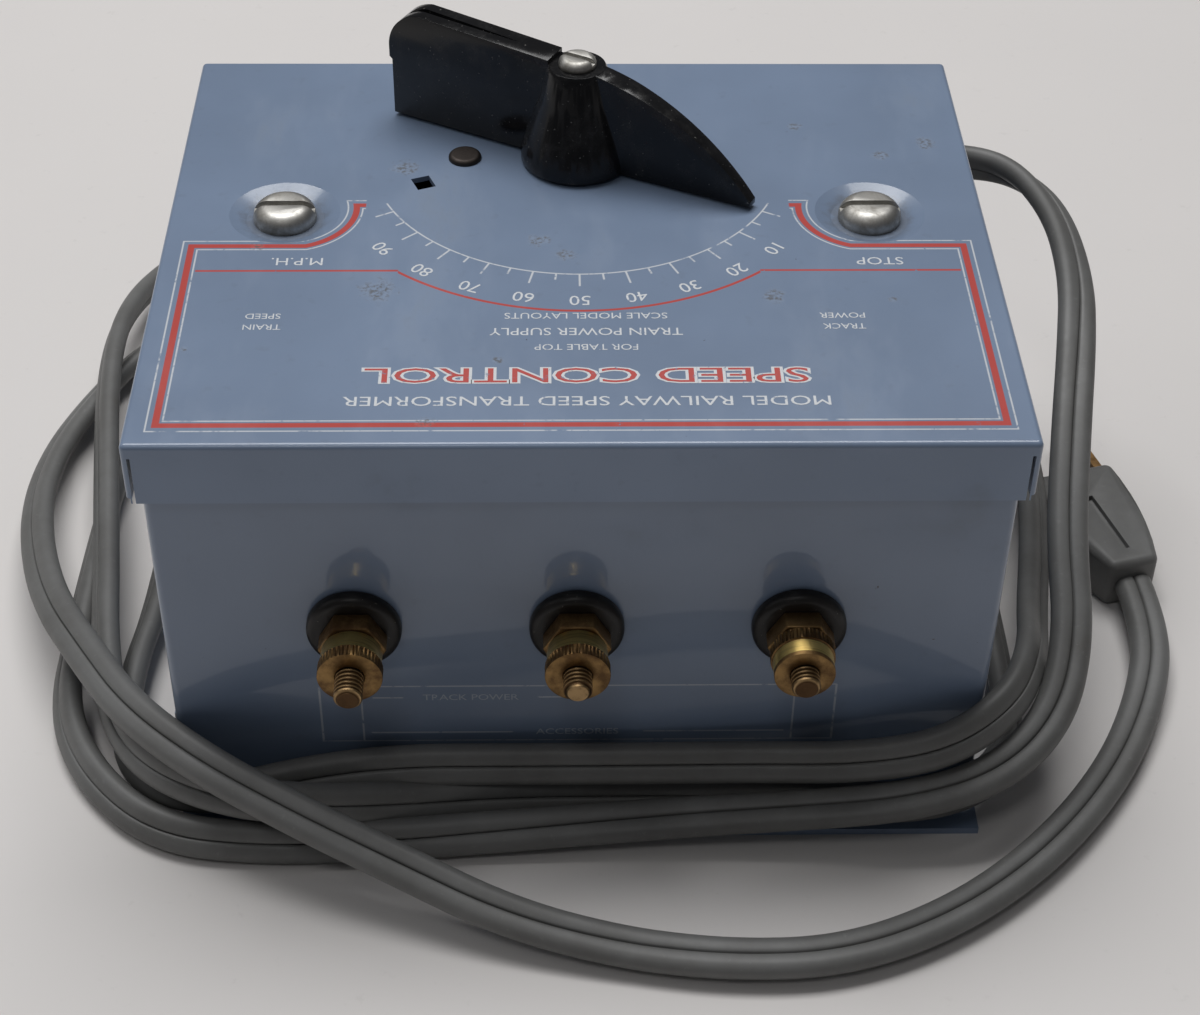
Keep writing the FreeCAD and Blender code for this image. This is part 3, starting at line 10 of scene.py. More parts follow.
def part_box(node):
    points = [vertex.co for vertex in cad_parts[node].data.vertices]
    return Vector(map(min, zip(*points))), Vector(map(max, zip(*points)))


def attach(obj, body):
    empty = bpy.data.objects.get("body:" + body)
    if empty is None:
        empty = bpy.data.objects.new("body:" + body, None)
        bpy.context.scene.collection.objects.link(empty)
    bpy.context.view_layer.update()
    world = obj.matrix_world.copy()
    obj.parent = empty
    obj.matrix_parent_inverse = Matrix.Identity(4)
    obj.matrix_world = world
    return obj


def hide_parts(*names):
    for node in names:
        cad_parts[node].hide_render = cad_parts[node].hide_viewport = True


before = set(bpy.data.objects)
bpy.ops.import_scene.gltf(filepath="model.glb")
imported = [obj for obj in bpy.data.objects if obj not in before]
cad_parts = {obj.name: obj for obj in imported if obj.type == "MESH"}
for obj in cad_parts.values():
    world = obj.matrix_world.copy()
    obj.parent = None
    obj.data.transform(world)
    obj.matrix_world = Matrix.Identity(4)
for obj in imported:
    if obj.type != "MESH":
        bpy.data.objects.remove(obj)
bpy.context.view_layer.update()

bl_info = {
    "name": "Model railway controller",
    "version": (1, 0, 0),
    "blender": (4, 5, 0),
    "location": "3D View > Sidebar > Controller",
    "description": "Gives a model railway transformer its finishes, its printed dial and its cord",
    "category": "Object",
}

MM = 0.001
LID_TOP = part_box("base_plate")[0][2] + 72.0 * MM
LEVER_Y = 21.4 * MM
CASE_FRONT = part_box("case_body")[0][1]
CASE_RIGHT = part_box("case_body")[1][0]
SCREW_X = 45.6
SCREW_Y = 5.5
# The dial's scale in degrees: where its zero stands, and how far apart the tens are.
DIAL_ZERO = -28.5
DIAL_TEN = 12.3


# ------------------------------------------------------------------ shader maths
class Value:
    """A socket, or a plain number, that can be used in an expression."""

    def __init__(self, shade, source):
        self.shade = shade
        self.source = source

    def mix(self, operation, *others):
        return self.shade.maths(operation, self, *others)

    def __add__(self, other):
        return self.mix("ADD", other)

    __radd__ = __add__

    def __sub__(self, other):
        return self.mix("SUBTRACT", other)

    def __rsub__(self, other):
        return self.shade.maths("SUBTRACT", other, self)

    def __mul__(self, other):
        return self.mix("MULTIPLY", other)

    __rmul__ = __mul__

    def __truediv__(self, other):
        return self.mix("DIVIDE", other)

    def __neg__(self):
        return self.mix("MULTIPLY", -1.0)

    def __abs__(self):
        return self.mix("ABSOLUTE")


class Shade:
    """Builds one material's nodes; every node comes from node()."""

    def __init__(self, name):
        self.material = bpy.data.materials.new(name)
        self.material.use_nodes = True
        self.tree = self.material.node_tree
        self.tree.nodes.clear()
        self.output = self.node("ShaderNodeOutputMaterial")
        self.surface = self.node("ShaderNodeBsdfPrincipled")
        self.tree.links.new(self.surface.outputs[0], self.output.inputs[0])
        self.place = Value(self, self.node("ShaderNodeTexCoord").outputs["Object"])

    def node(self, kind, settings=None, inputs=None):
        made = self.tree.nodes.new(kind)
        for key, setting in (settings or {}).items():
            setattr(made, key, setting)
        for key, entry in (inputs or {}).items():
            self.feed(made.inputs[key], entry)
        return made

    def feed(self, socket, entry):
        if isinstance(entry, Value):
            entry = entry.source
        if isinstance(entry, bpy.types.NodeSocket):
            self.tree.links.new(entry, socket)
        else:
            socket.default_value = entry

    def maths(self, operation, *entries):
        made = self.node("ShaderNodeMath", {"operation": operation}, dict(enumerate(entries)))
        return Value(self, made.outputs[0])

    def axes(self):
        """The place on the piece in millimetres, as x, y and z."""
        scaled = self.node("ShaderNodeVectorMath", {"operation": "SCALE"},
                           {0: self.place, "Scale": 1.0 / MM})
        parts = self.node("ShaderNodeSeparateXYZ", None, {0: scaled.outputs[0]})
        return [Value(self, part) for part in parts.outputs]

    def noise(self, scale, detail=3.0, roughness=0.5, place=None):
        made = self.node("ShaderNodeTexNoise", None, {"Vector": place or self.place, "Scale": scale,
                                                      "Detail": detail, "Roughness": roughness})
        return Value(self, made.outputs["Fac"])

    def stretched(self, x, y, z):
        """The place on the piece with each axis scaled, for noise that runs along one of them."""
        made = self.node("ShaderNodeVectorMath", {"operation": "MULTIPLY"},
                         {0: self.place, 1: (x, y, z)})
        return Value(self, made.outputs[0])

    def ramp(self, value, low, high):
        """0 below low, 1 above high, smooth between; low may be above high."""
        made = self.node("ShaderNodeMapRange", {"interpolation_type": "SMOOTHSTEP"},
                         {"Value": value, "From Min": low, "From Max": high})
        return Value(self, made.outputs[0])

    def blend(self, factor, first, second):
        made = self.node("ShaderNodeMix", {"data_type": "RGBA"},
                         {0: factor, 6: colour(first), 7: colour(second)})
        return Value(self, made.outputs[2])

    def bump(self, height, strength, distance):
        made = self.node("ShaderNodeBump", None, {"Height": height, "Strength": strength,
                                                  "Distance": distance})
        return Value(self, made.outputs[0])

    def finish(self, **inputs):
        """Feeds the surface's inputs, named with underscores, and returns the material."""
        for key, entry in inputs.items():
            self.feed(self.surface.inputs[key.replace("_", " ")], entry)
        return self.material


def colour(entry):
    """A colour with full opacity; anything else passes through."""
    if isinstance(entry, tuple) and len(entry) == 3:
        return entry + (1.0,)
    return entry


def stripe(shade, distance, centre, half, soft=0.05):
    """1 on a printed line that runs along a distance field at the given depth."""
    return shade.ramp(abs(distance - centre), half + soft, half - soft)


# ------------------------------------------------------------------ finishes
WHITE_INK = (0.62, 0.64, 0.66)
RED_INK = (0.46, 0.065, 0.055)
BLUE = (0.175, 0.232, 0.335)
ENAMEL = ((0.163, 0.216, 0.312), (0.187, 0.247, 0.356))
CASE_PAINTED_SHADE = 0.86  # painted shade: the case's enamel is darkened by this share because its front stands in shade; the paint itself matches the lid's


def printed_lid(shade):
    """Ink masks of the lid's print: white lines, the red frame and the thin red rule."""
    x, y, z = shade.axes()
    aside = abs(x)
    upper = shade.ramp(z, LID_TOP / MM - 0.35, LID_TOP / MM - 0.15)
    panel = shade.maths("MAXIMUM", aside - 60.3, abs(y + 25.65) - 23.25)
    shoulder = shade.maths("MAXIMUM", aside - 45.2, abs(y + 20.0) - 28.9)
    scoop_y = y - 6.4
    scoop_x = aside - 45.2
    scoop = 9.4 - shade.maths("SQRT", scoop_x * scoop_x + scoop_y * scoop_y)
    depth = -shade.maths("MINIMUM", panel, shade.maths("MAXIMUM", shoulder, scoop))
    across = shade.maths("MAXIMUM", shade.ramp(aside, 33.0, 33.2), shade.ramp(y, -29.0, -31.0))
    red = stripe(shade, depth, 1.3, 0.5) * across
    white = shade.maths("MAXIMUM", stripe(shade, depth, 0.0, 0.12), stripe(shade, depth, 2.25, 0.12)) * across
    dial_y = y - LEVER_Y / MM
    radius = shade.maths("SQRT", x * x + dial_y * dial_y)
    angle = shade.maths("ARCTAN2", dial_y, x) * (180.0 / math.pi)
    sweep = shade.ramp(y, 8.2, 8.0)
    arc = stripe(shade, radius, 32.7, 0.13) * sweep
    past_zero = angle - DIAL_ZERO + 20 * DIAL_TEN
    off_tick = shade.maths("PINGPONG", past_zero, DIAL_TEN / 4) * (math.pi / 180.0) * radius
    ticks = shade.ramp(off_tick, 0.20, 0.10)
    off_ten = shade.maths("PINGPONG", past_zero, DIAL_TEN / 2) * (math.pi / 180.0) * radius
    tens = shade.ramp(off_ten, 0.3, 0.2)
    reach = 34.3 + tens * 1.5
    along = shade.ramp(radius, 32.6, 32.8) * shade.ramp(radius - reach, 0.1, -0.1)
    last = DIAL_ZERO - 10 * DIAL_TEN
    between = shade.ramp(angle, last - 1.5, last - 0.9) * shade.ramp(angle, DIAL_ZERO + 1.5, DIAL_ZERO + 0.9)
    marks = ticks * along * between
    white = shade.maths("MAXIMUM", white, shade.maths("MAXIMUM", arc, marks))
    rule = stripe(shade, y, -10.3, 0.22) * shade.ramp(aside, 27.2, 27.4) * shade.ramp(aside, 57.8, 57.6)
    bow = stripe(shade, radius, 42.1, 0.24) * shade.ramp(aside, 27.4, 27.2) * shade.ramp(y, -5.0, -5.4)
    rule = shade.maths("MAXIMUM", rule, bow)
    worn = shade.ramp(shade.noise(900.0, 4.0, 0.7), 0.30, 0.42)
    thin = shade.ramp(shade.noise(160.0, 4.0, 0.75), 0.33, 0.45)
    white = white * worn * thin * upper
    red = shade.maths("MAXIMUM", red, rule) * shade.ramp(shade.noise(700.0, 3.0, 0.6), 0.24, 0.3) * upper
    return white, red


def front_print(shade):
    """The faint ruled frame under the binding posts."""
    x, y, z = shade.axes()
    face = shade.ramp(y, CASE_FRONT / MM + 0.3, CASE_FRONT / MM + 0.1)
    centre = x + 0.4
    wide = abs(centre)
    top = stripe(shade, z, 24.3, 0.13) * shade.ramp(wide, 39.2, 39.0)
    foot = stripe(shade, z, 12.6, 0.10) * shade.ramp(wide, 39.2, 39.0)
    sides = shade.ramp(z, 24.4, 24.2) * shade.ramp(z, 12.4, 12.6)
    outer = stripe(shade, wide, 39.05, 0.16) * sides
    inner = stripe(shade, wide, 32.8, 0.14) * sides
    arrow = stripe(shade, z, 14.4, 0.13) * shade.ramp(wide, 31.8, 31.4) * shade.ramp(wide, 9.8, 10.2)
    upper = abs(x + 16.7)
    arrow_upper = stripe(shade, z, 21.9, 0.13) * shade.ramp(upper, 15.0, 14.6) * shade.ramp(upper, 10.0, 10.4)
    lines = shade.maths("MAXIMUM", shade.maths("MAXIMUM", top, foot), shade.maths("MAXIMUM", outer, inner))
    lines = shade.maths("MAXIMUM", lines, shade.maths("MAXIMUM", arrow, arrow_upper))
    worn = shade.ramp(shade.noise(500.0, 4.0, 0.7), 0.32, 0.48)
    return lines * worn * face


def enamel(name, ink=None):
    """Stoved blue-grey enamel: gently mottled, scuffed, with dirt spots and tiny chips; the case's copy is
    darkened as painted shade.
    """
    shade = Shade(name)
    x, y = shade.axes()[:2]
    cloud = shade.noise(26.0, 3.0, 0.55)
    # The case front's enamel is a darkened copy of the lid's, as painted shade for a front that faces away
    # from the light.
    tone = CASE_PAINTED_SHADE if ink == "front" else 1.0
    deep, pale = (tuple(tone * part for part in paint) for paint in ENAMEL)
    base = shade.blend(shade.ramp(cloud, 0.3, 0.7), deep, pale)
    fine = shade.noise(420.0, 2.0, 0.5)
    base = shade.blend(shade.ramp(fine, 0.62, 0.8) * 0.25, base, (0.13, 0.165, 0.225))
    rubbed = shade.noise(60.0, 5.0, 0.7, shade.stretched(1.0, 0.35, 1.0))
    base = shade.blend(shade.ramp(rubbed, 0.58, 0.75) * 0.35, base, (0.145, 0.175, 0.215))
    roughness = 0.27 + shade.ramp(rubbed, 0.45, 0.75) * 0.22 + fine * 0.05
    if ink == "lid":
        white, red = printed_lid(shade)
        base = shade.blend(red, base, RED_INK)
        base = shade.blend(white * 0.85, base, WHITE_INK)
        stains = None
        for stain_x, stain_y, reach in STAINS:
            off_x = x - stain_x
            off_y = y - stain_y
            away = shade.maths("SQRT", off_x * off_x + off_y * off_y)
            ragged = (shade.noise(700.0, 3.0, 0.6) - 0.5) * (1.6 * reach)
            spot = shade.ramp(away + ragged, reach, 0.45 * reach)
            stains = spot if stains is None else shade.maths("MAXIMUM", stains, spot)
        speckle = shade.ramp(shade.noise(1500.0, 3.0, 0.6), 0.42, 0.62)
        base = shade.blend(stains * speckle * 0.75, base, (0.075, 0.072, 0.068))
        roughness = roughness + stains * 0.3
        screw_x = abs(x) - SCREW_X
        screw_y = y - SCREW_Y
        from_screw = shade.maths("SQRT", screw_x * screw_x + screw_y * screw_y)
        grime = shade.ramp(from_screw + (shade.noise(520.0, 4.0, 0.7) - 0.5) * 5.0, 7.6, 5.2)
        base = shade.blend(grime * 0.55, base, (0.11, 0.115, 0.125))
    if ink == "front":
        base = shade.blend(front_print(shade) * 0.45, base, WHITE_INK)
    chips = shade.ramp(shade.noise(330.0, 5.0, 0.75), 0.715, 0.735)
    base = shade.blend(chips, base, (0.035, 0.03, 0.028))
    peel = shade.noise(1100.0, 2.0, 0.4)
    return shade.finish(Base_Color=base, Roughness=roughness, Coat_Weight=0.7 if ink == "front" else 0.35,
                        Coat_Roughness=0.05 if ink == "front" else 0.12,
                        Normal=shade.bump(peel - chips * 0.6, 0.16, 0.00006))


# Dirt spots on the lid, in millimetres: place across, place in depth, reach.
STAINS = ((-27.5, 18.5, 2.6), (-30.0, -15.5, 3.2), (-6.2, -2.2, 1.9), (-2.0, -6.2, 1.7), (29.0, -17.0, 2.0),
          (46.5, -18.0, 0.9), (-49.0, -4.0, 1.3), (49.0, 22.0, 1.6), (57.0, 26.0, 2.0), (36.0, 31.0, 1.3),
          (-12.0, -33.0, 1.0), (-22.0, -47.0, 1.5), (-57.0, -30.0, 0.8), (24.0, 9.0, 1.1))


def brushed(name, bright, dark, rough, tarnish=0.5):
    """Bare or plated metal with fine scratches and patchy tarnish."""
    shade = Shade(name)
    patches = shade.noise(150.0, 5.0, 0.7)
    scratch = shade.noise(2600.0, 3.0, 0.6)
    mask = shade.ramp(patches, 0.38, 0.68) * tarnish
    base = shade.blend(mask, bright, dark)
    base = shade.blend(shade.ramp(scratch, 0.55, 0.8) * 0.35, base, dark)
    roughness = rough + mask * 0.3 + scratch * 0.12
    return shade.finish(Base_Color=base, Roughness=roughness, Metallic=1.0,
                        Normal=shade.bump(scratch, 0.18, 0.00004))


def threaded(name, bright, dark, pitch):
    """Turned brass with a screw thread round the front-to-back axis."""
    shade = Shade(name)
    y = shade.axes()[1]
    ridge = shade.maths("PINGPONG", y, pitch / 2) / (pitch / 2)
    patch = shade.noise(420.0, 4.0, 0.7)
    base = shade.blend(shade.ramp(ridge, 0.75, 0.2), bright, dark)
    base = shade.blend(shade.ramp(patch, 0.45, 0.7) * 0.6, base, tuple(0.6 * part for part in dark))
    return shade.finish(Base_Color=base, Metallic=1.0, Roughness=0.34 + patch * 0.2,
                        Normal=shade.bump(ridge, 1.0, 0.00025))


def nut_brass(name):
    """Thumb nut brass: dull and dirty on the knurled half; the plain half is painted bright, partly as rubbed
    brass and partly as a painted highlight.
    """
    shade = Shade(name)
    x, y = shade.axes()[:2]
    reversed_nut = shade.ramp(x, 15.9, 16.1)
    from_case = CASE_FRONT / MM - y
    inner_band = shade.ramp(from_case, 8.85, 8.75)
    outer_band = shade.ramp(from_case, 8.0, 8.1) * shade.ramp(from_case, 10.35, 10.2)
    plain = inner_band + (outer_band - inner_band) * reversed_nut
    patches = shade.noise(260.0, 5.0, 0.7)
    lines = shade.noise(900.0, 3.0, 0.6, shade.stretched(0.2, 3.0, 0.2))
    dull = shade.blend(shade.ramp(patches, 0.35, 0.65), (0.30, 0.185, 0.075), (0.12, 0.068, 0.032))
    # The plain band's bright gold is partly rubbed brass and partly a painted highlight, where the real band
    # catches the light.
    rubbed = shade.blend(shade.ramp(lines, 0.45, 0.75), (0.92, 0.66, 0.22), (0.60, 0.40, 0.12))
    base = shade.blend(plain, dull, rubbed)
    roughness = 0.40 - plain * 0.16 + patches * 0.12
    return shade.finish(Base_Color=base, Metallic=1.0, Roughness=roughness,
                        Normal=shade.bump(lines, 0.2, 0.00004))


def moulded(name, base_low, base_high, rough, dust, peel=0.1):
    """Moulded plastic or phenolic: dark, faintly clouded, with dust caught on it."""
    shade = Shade(name)
    cloud = shade.noise(90.0, 4.0, 0.6)
    base = shade.blend(cloud, base_low, base_high)
    specks = shade.ramp(shade.noise(1900.0, 2.0, 0.5), 0.70, 0.76)
    film = shade.ramp(shade.noise(240.0, 5.0, 0.7), 0.45, 0.85)
    base = shade.blend(specks * dust, base, (0.28, 0.27, 0.25))
    base = shade.blend(film * dust * 0.22, base, (0.20, 0.19, 0.18))
    roughness = rough + film * 0.2 + specks * 0.3
    return shade.finish(Base_Color=base, Roughness=roughness, Specular_IOR_Level=0.36,
                        Normal=shade.bump(shade.noise(800.0, 2.0, 0.4), peel, 0.00005))


def rubber(name, painted_shade=1.0):
    """Grey cord rubber: scuffed, slightly chalky, with soiled stretches; the second argument darkens all of
    it, which paints the shade in the groove between the strands.
    """
    shade = Shade(name)
    soil = shade.noise(38.0, 5.0, 0.7)
    fine = shade.noise(900.0, 3.0, 0.6)
    tone = [tuple(painted_shade * part for part in grey) for grey in
            ((0.150, 0.151, 0.148), (0.108, 0.107, 0.103), (0.085, 0.07, 0.052), (0.21, 0.21, 0.205))]
    base = shade.blend(shade.ramp(soil, 0.3, 0.7), tone[0], tone[1])
    base = shade.blend(shade.ramp(soil, 0.62, 0.82) * 0.6, base, tone[2])
    base = shade.blend(shade.ramp(fine, 0.6, 0.8) * 0.4, base, tone[3])
    roughness = 0.36 + fine * 0.14 + soil * 0.12
    return shade.finish(Base_Color=base, Roughness=roughness, Normal=shade.bump(fine, 0.15, 0.00005))


def wound(name, low, high, pitch, axis, metallic, rough):
    """Wire or paper laid side by side: fine ridges along one axis."""
    shade = Shade(name)
    parts = shade.axes()
    ridge = shade.maths("PINGPONG", parts[axis], pitch / 2) / (pitch / 2)
    patch = shade.noise(120.0, 4.0, 0.6)
    base = shade.blend(patch, low, high)
    base = shade.blend(shade.ramp(ridge, 0.3, 0.0) * 0.6, base, tuple(0.35 * part for part in low))
    return shade.finish(Base_Color=base, Metallic=metallic, Roughness=rough + patch * 0.2,
                        Normal=shade.bump(ridge, 0.6, 0.0002))


def woven(name):
    """Cotton-braided lead sleeve."""
    shade = Shade(name)
    x, y, z = shade.axes()
    weave = shade.maths("SINE", (x + y + z) * 9.0) * shade.maths("SINE", (x - y + z) * 9.0)
    base = shade.blend(shade.ramp(weave, -0.4, 0.4), (0.11, 0.085, 0.06), (0.23, 0.18, 0.12))
    return shade.finish(Base_Color=base, Roughness=0.85, Normal=shade.bump(weave, 0.5, 0.0001))


def ink(name, tone):
    """Printing ink, worn through to the enamel in specks."""
    shade = Shade(name)
    worn = shade.ramp(shade.noise(900.0, 4.0, 0.7), 0.30, 0.42)
    return shade.finish(Base_Color=shade.blend(worn, BLUE, tone), Roughness=0.4)


FINISHES = {}


def make_finishes():
    """Makes every material once, under the short name that the pieces ask for."""
    FINISHES["lid"] = enamel("enamel_printed", "lid")
    FINISHES["front"] = enamel("enamel_case", "front")
    FINISHES["enamel"] = enamel("enamel_plain")
    FINISHES["zinc"] = brushed("zinc_plate", (0.50, 0.49, 0.465), (0.20, 0.185, 0.16), rough=0.38,
                               tarnish=0.8)
    FINISHES["lamination"] = wound("lamination_edges", (0.16, 0.165, 0.18), (0.24, 0.24, 0.25), 0.7, 2,
                                   metallic=0.8, rough=0.45)
    FINISHES["dark_steel"] = brushed("dark_rivet", (0.07, 0.06, 0.055), (0.03, 0.026, 0.024), rough=0.45)
    FINISHES["brass"] = brushed("aged_brass", (0.27, 0.165, 0.07), (0.09, 0.05, 0.025), rough=0.38,
                                tarnish=0.9)
    FINISHES["thumb_nut"] = nut_brass("thumb_nut_brass")
    FINISHES["thread"] = threaded("threaded_brass", (0.36, 0.24, 0.12), (0.08, 0.045, 0.022), 0.79)
    FINISHES["copper"] = wound("enamelled_wire", (0.36, 0.13, 0.055), (0.52, 0.22, 0.10), 2.0, 0,
                               metallic=0.75, rough=0.3)
    FINISHES["pressboard"] = moulded("pressboard", (0.30, 0.20, 0.11), (0.40, 0.28, 0.16), 0.75, 0.2)
    FINISHES["phenolic"] = moulded("phenolic", (0.006, 0.005, 0.005), (0.013, 0.011, 0.010), 0.40, 0.35)
    FINISHES["moulding"] = moulded("black_moulding", (0.0035, 0.0035, 0.0042), (0.008, 0.008, 0.009), 0.17,
                                   0.45, peel=0.05)
    FINISHES["rubber"] = rubber("cord_rubber")
    # cord_line paints the groove between the cord's strands near-black, as painted shade in the slit.
    FINISHES["cord_line"] = rubber("cord_line", 0.10)
    FINISHES["sleeve"] = woven("lead_sleeve")
    FINISHES["white_ink"] = ink("white_ink", WHITE_INK)
    FINISHES["faint_ink"] = ink("faint_ink", (0.34, 0.38, 0.44))
    FINISHES["red_ink"] = ink("red_ink", RED_INK)


NODE_FINISH = {
    "lid": ["top_cover"],
    "front": ["case_body"],
    "enamel": ["base_plate"],
    "zinc": ["end_bracket_left", "end_bracket_right", "bracket_rivets", "core_bolts", "core_nuts",
             "spring_washer", "control_shaft", "shaft_clip", "breaker_bimetal", "breaker_screws"],
    "lamination": ["lamination_stack"],
    "dark_steel": ["plate_rivets"],
    "brass": ["shaft_bushing", "bushing_nut", "collector_lug", "arm_hub", "contact_arm", "contact_shoe",
              "inner_nuts", "solder_lugs", "breaker_terminal", "breaker_contacts",
              "plug_blades"],
    "thread": ["terminal_studs"],
    "copper": ["primary_winding", "secondary_winding"],
    "pressboard": ["winding_tube", "interlayer_insulation"],
    "phenolic": ["bearing_plate", "inner_washers", "breaker_base"],
    "rubber": ["cord_grommet"],
    "sleeve": ["post_leads", "primary_leads"],
}


# ------------------------------------------------------------------ modelling helpers
def nothing_selected():
    if bpy.context.object and bpy.context.object.mode != "OBJECT":
        bpy.ops.object.mode_set(mode="OBJECT")
    bpy.ops.object.select_all(action="DESELECT")


def choose(piece):
    nothing_selected()
    piece.select_set(True)
    bpy.context.view_layer.objects.active = piece


def paint(piece, finish):
    piece.data.materials.clear()
    piece.data.materials.append(FINISHES[finish])


def settle(piece, body, finish, smooth=35.0):
    """Puts the piece's place into its mesh, gives it its finish and hangs it on its body."""
    choose(piece)
    bpy.ops.object.transform_apply(location=True, rotation=True, scale=True)
    paint(piece, finish)
    if smooth:
        bpy.ops.object.shade_smooth_by_angle(angle=math.radians(smooth))
    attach(piece, body)
    return piece


def run_modifier(piece, kind, **settings):
    choose(piece)
    modifier = piece.modifiers.new(kind.lower(), kind)
    for key, setting in settings.items():
        setattr(modifier, key, setting)
    bpy.ops.object.modifier_apply(modifier=modifier.name)


def softened(node, name, round_off, flat=4.0, sharp=30.0):
    """A node's shape with its loose triangles joined and its edges rounded as they come off a tool."""
    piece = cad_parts[node].copy()
    piece.data = piece.data.copy()
    piece.name = name
    piece.data.name = name
    piece.parent = None
    piece.matrix_world = Matrix.Identity(4)
    bpy.context.scene.collection.objects.link(piece)
    choose(piece)
    bpy.ops.object.mode_set(mode="EDIT")
    bpy.ops.mesh.select_all(action="SELECT")
    bpy.ops.mesh.remove_doubles(threshold=2e-6)
    bpy.ops.mesh.dissolve_limited(angle_limit=math.radians(flat))
    bpy.ops.object.mode_set(mode="OBJECT")
    run_modifier(piece, "BEVEL", width=round_off, segments=2, limit_method="ANGLE",
                 angle_limit=math.radians(sharp), use_clamp_overlap=True)
    return piece


# ------------------------------------------------------------------ settings
class CordSettings(PropertyGroup):
    width: FloatProperty(name="Width", description="Across both strands of the flat cord",
                         default=6.5 * MM, unit="LENGTH")
    thickness: FloatProperty(name="Thickness", description="Through one strand",
                             default=3.5 * MM, unit="LENGTH")
    groove: FloatProperty(name="Groove", description="Depth of the line between the strands",
                          default=0.75 * MM, unit="LENGTH")


class DialSettings(PropertyGroup):
    figure_height: FloatProperty(name="Figure height", description="Height of the dial's figures",
                                 default=2.45 * MM, unit="LENGTH")
    figure_circle: FloatProperty(name="Figure circle", description="Radius on which the figures stand",
                                 default=39.4 * MM, unit="LENGTH")
    ink: FloatProperty(name="Ink", description="How far the figures' ink stands on the enamel",
                       default=0.03 * MM, unit="LENGTH")


class NutSettings(PropertyGroup):
    teeth: IntProperty(name="Knurls", description="Ridges round a thumb nut", default=46, min=12)
    knurl_length: FloatProperty(name="Knurl length", description="Length of a nut's knurled part",
                                default=2.1 * MM, unit="LENGTH")
    depth: FloatProperty(name="Knurl depth", description="How deep the ridges are cut", default=0.2 * MM,
                         unit="LENGTH")


class LightSettings(PropertyGroup):
    floor: FloatVectorProperty(name="Floor", description="Colour of the floor", default=(0.70, 0.675, 0.66),
                               subtype="COLOR", size=3)
    key: FloatProperty(name="Key light", description="Power of the large light above",
                       default=14.9, unit="POWER")


# ------------------------------------------------------------------ finishes on the frame
class CONTROLLER_OT_finish_frame(Operator):
    """Gives every CAD node that stays in view its own finish"""
    bl_idname = "controller.finish_frame"
    bl_label = "Finish the frame"

    def execute(self, context):
        make_finishes()
        for finish, names in NODE_FINISH.items():
            for name in names:
                paint(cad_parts[name], finish)
        return {"FINISHED"}


# ------------------------------------------------------------------ lever
class CONTROLLER_OT_lever(Operator):
    """Rounds the edges of the moulded lever and of the screw that holds it"""
    bl_idname = "controller.lever"
    bl_label = "Lever"

    def execute(self, context):
        lever = softened("control_knob", "lever", 0.35 * MM, flat=1.5, sharp=24.0)
        settle(lever, "lever", "moulding", 28.0)
        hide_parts("control_knob")
        screw = softened("knob_screw", "lever_screw", 0.15 * MM)
        settle(screw, "lever", "zinc")
        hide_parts("knob_screw")
        return {"FINISHED"}


# ------------------------------------------------------------------ dial figures
def figure(text, x, y, turn, height, ink, name, swell=0.0):
    """One printed word or number; swell thickens its strokes."""
    nothing_selected()
    bpy.ops.object.text_add(location=(0, 0, 0))
    piece = bpy.context.object
    piece.name = name
    piece.data.body = text
    piece.data.align_x = "CENTER"
    piece.data.align_y = "CENTER"
    piece.data.size = height * 1.38
    piece.data.extrude = ink / 2
    piece.data.offset = swell
    piece.data.resolution_u = 3
    bpy.ops.object.convert(target="MESH")
    piece = bpy.context.object
    piece.location = (x, y, LID_TOP + ink / 2)
    piece.rotation_euler = (0, 0, turn)
    return piece


class CONTROLLER_OT_dial(Operator):
    """Prints the dial's figures and its plain captions on the lid"""
    bl_idname = "controller.dial"
    bl_label = "Dial figures"

    def execute(self, context):
        settings = context.scene.controller_dial
        pieces = []
        for step in range(1, 10):
            angle = math.radians(DIAL_ZERO - DIAL_TEN * step)
            x = settings.figure_circle * math.cos(angle)
            y = LEVER_Y + settings.figure_circle * math.sin(angle)
            pieces.append(figure(str(10 * step), x, y, angle - math.pi / 2, settings.figure_height,
                                 settings.ink, "figure_%d" % (10 * step)))
        captions = (("STOP", 45.7, -7.8, 2.0, 1.1), ("M.P.H.", -42.6, -7.8, 2.0, 1.1),
                    ("FOR TABLE TOP", 0.8, -29.6, 1.45, 1.05), ("TRAIN POWER SUPPLY", 0.8, -25.8, 1.85, 1.08),
                    ("SCALE MODEL LAYOUTS", 0.8, -21.9, 1.5, 1.05), ("TRACK", 38.6, -24.6, 1.35, 1.05),
                    ("POWER", 38.6, -21.9, 1.35, 1.05), ("TRAIN", -46.5, -24.6, 1.35, 1.05),
                    ("SPEED", -46.5, -21.9, 1.35, 1.05),
                    ("MODEL RAILWAY SPEED TRANSFORMER", 0.8, -42.2, 2.2, 1.25))
        for number, (word, x, y, height, stretch) in enumerate(captions):
            caption = figure(word, x * MM, y * MM, math.pi, height * MM, settings.ink, "caption_%d" % number)
            caption.scale = (stretch, 1.0, 1.0)
            pieces.append(caption)
        for piece in pieces:
            settle(piece, "controller", "white_ink", 0)
        for word, x, z in (("TRACK POWER", -16.7, 21.9), ("ACCESSORIES", -0.5, 14.4)):
            caption = figure(word, 0, 0, 0, 1.25 * MM, settings.ink, "post_caption_" + word[0].lower())
            caption.rotation_euler = (math.pi / 2, 0, 0)
            caption.scale = (1.2, 1.0, 1.0)
            caption.location = (x * MM, CASE_FRONT - settings.ink / 2, z * MM)
            settle(caption, "controller", "faint_ink", 0)
        for ink, swell, lift in (("white_ink", 0.26 * MM, 0.0), ("red_ink", 0.0, 0.02 * MM)):
            title = figure("SPEED CONTROL", 0.8 * MM, -36.2 * MM, math.pi, 3.5 * MM, settings.ink,
                           "title_" + ink, swell)
            title.scale = (1.68, 1.0, 1.0)
            title.location.z += lift
            settle(title, "controller", ink, 0)
        return {"FINISHED"}


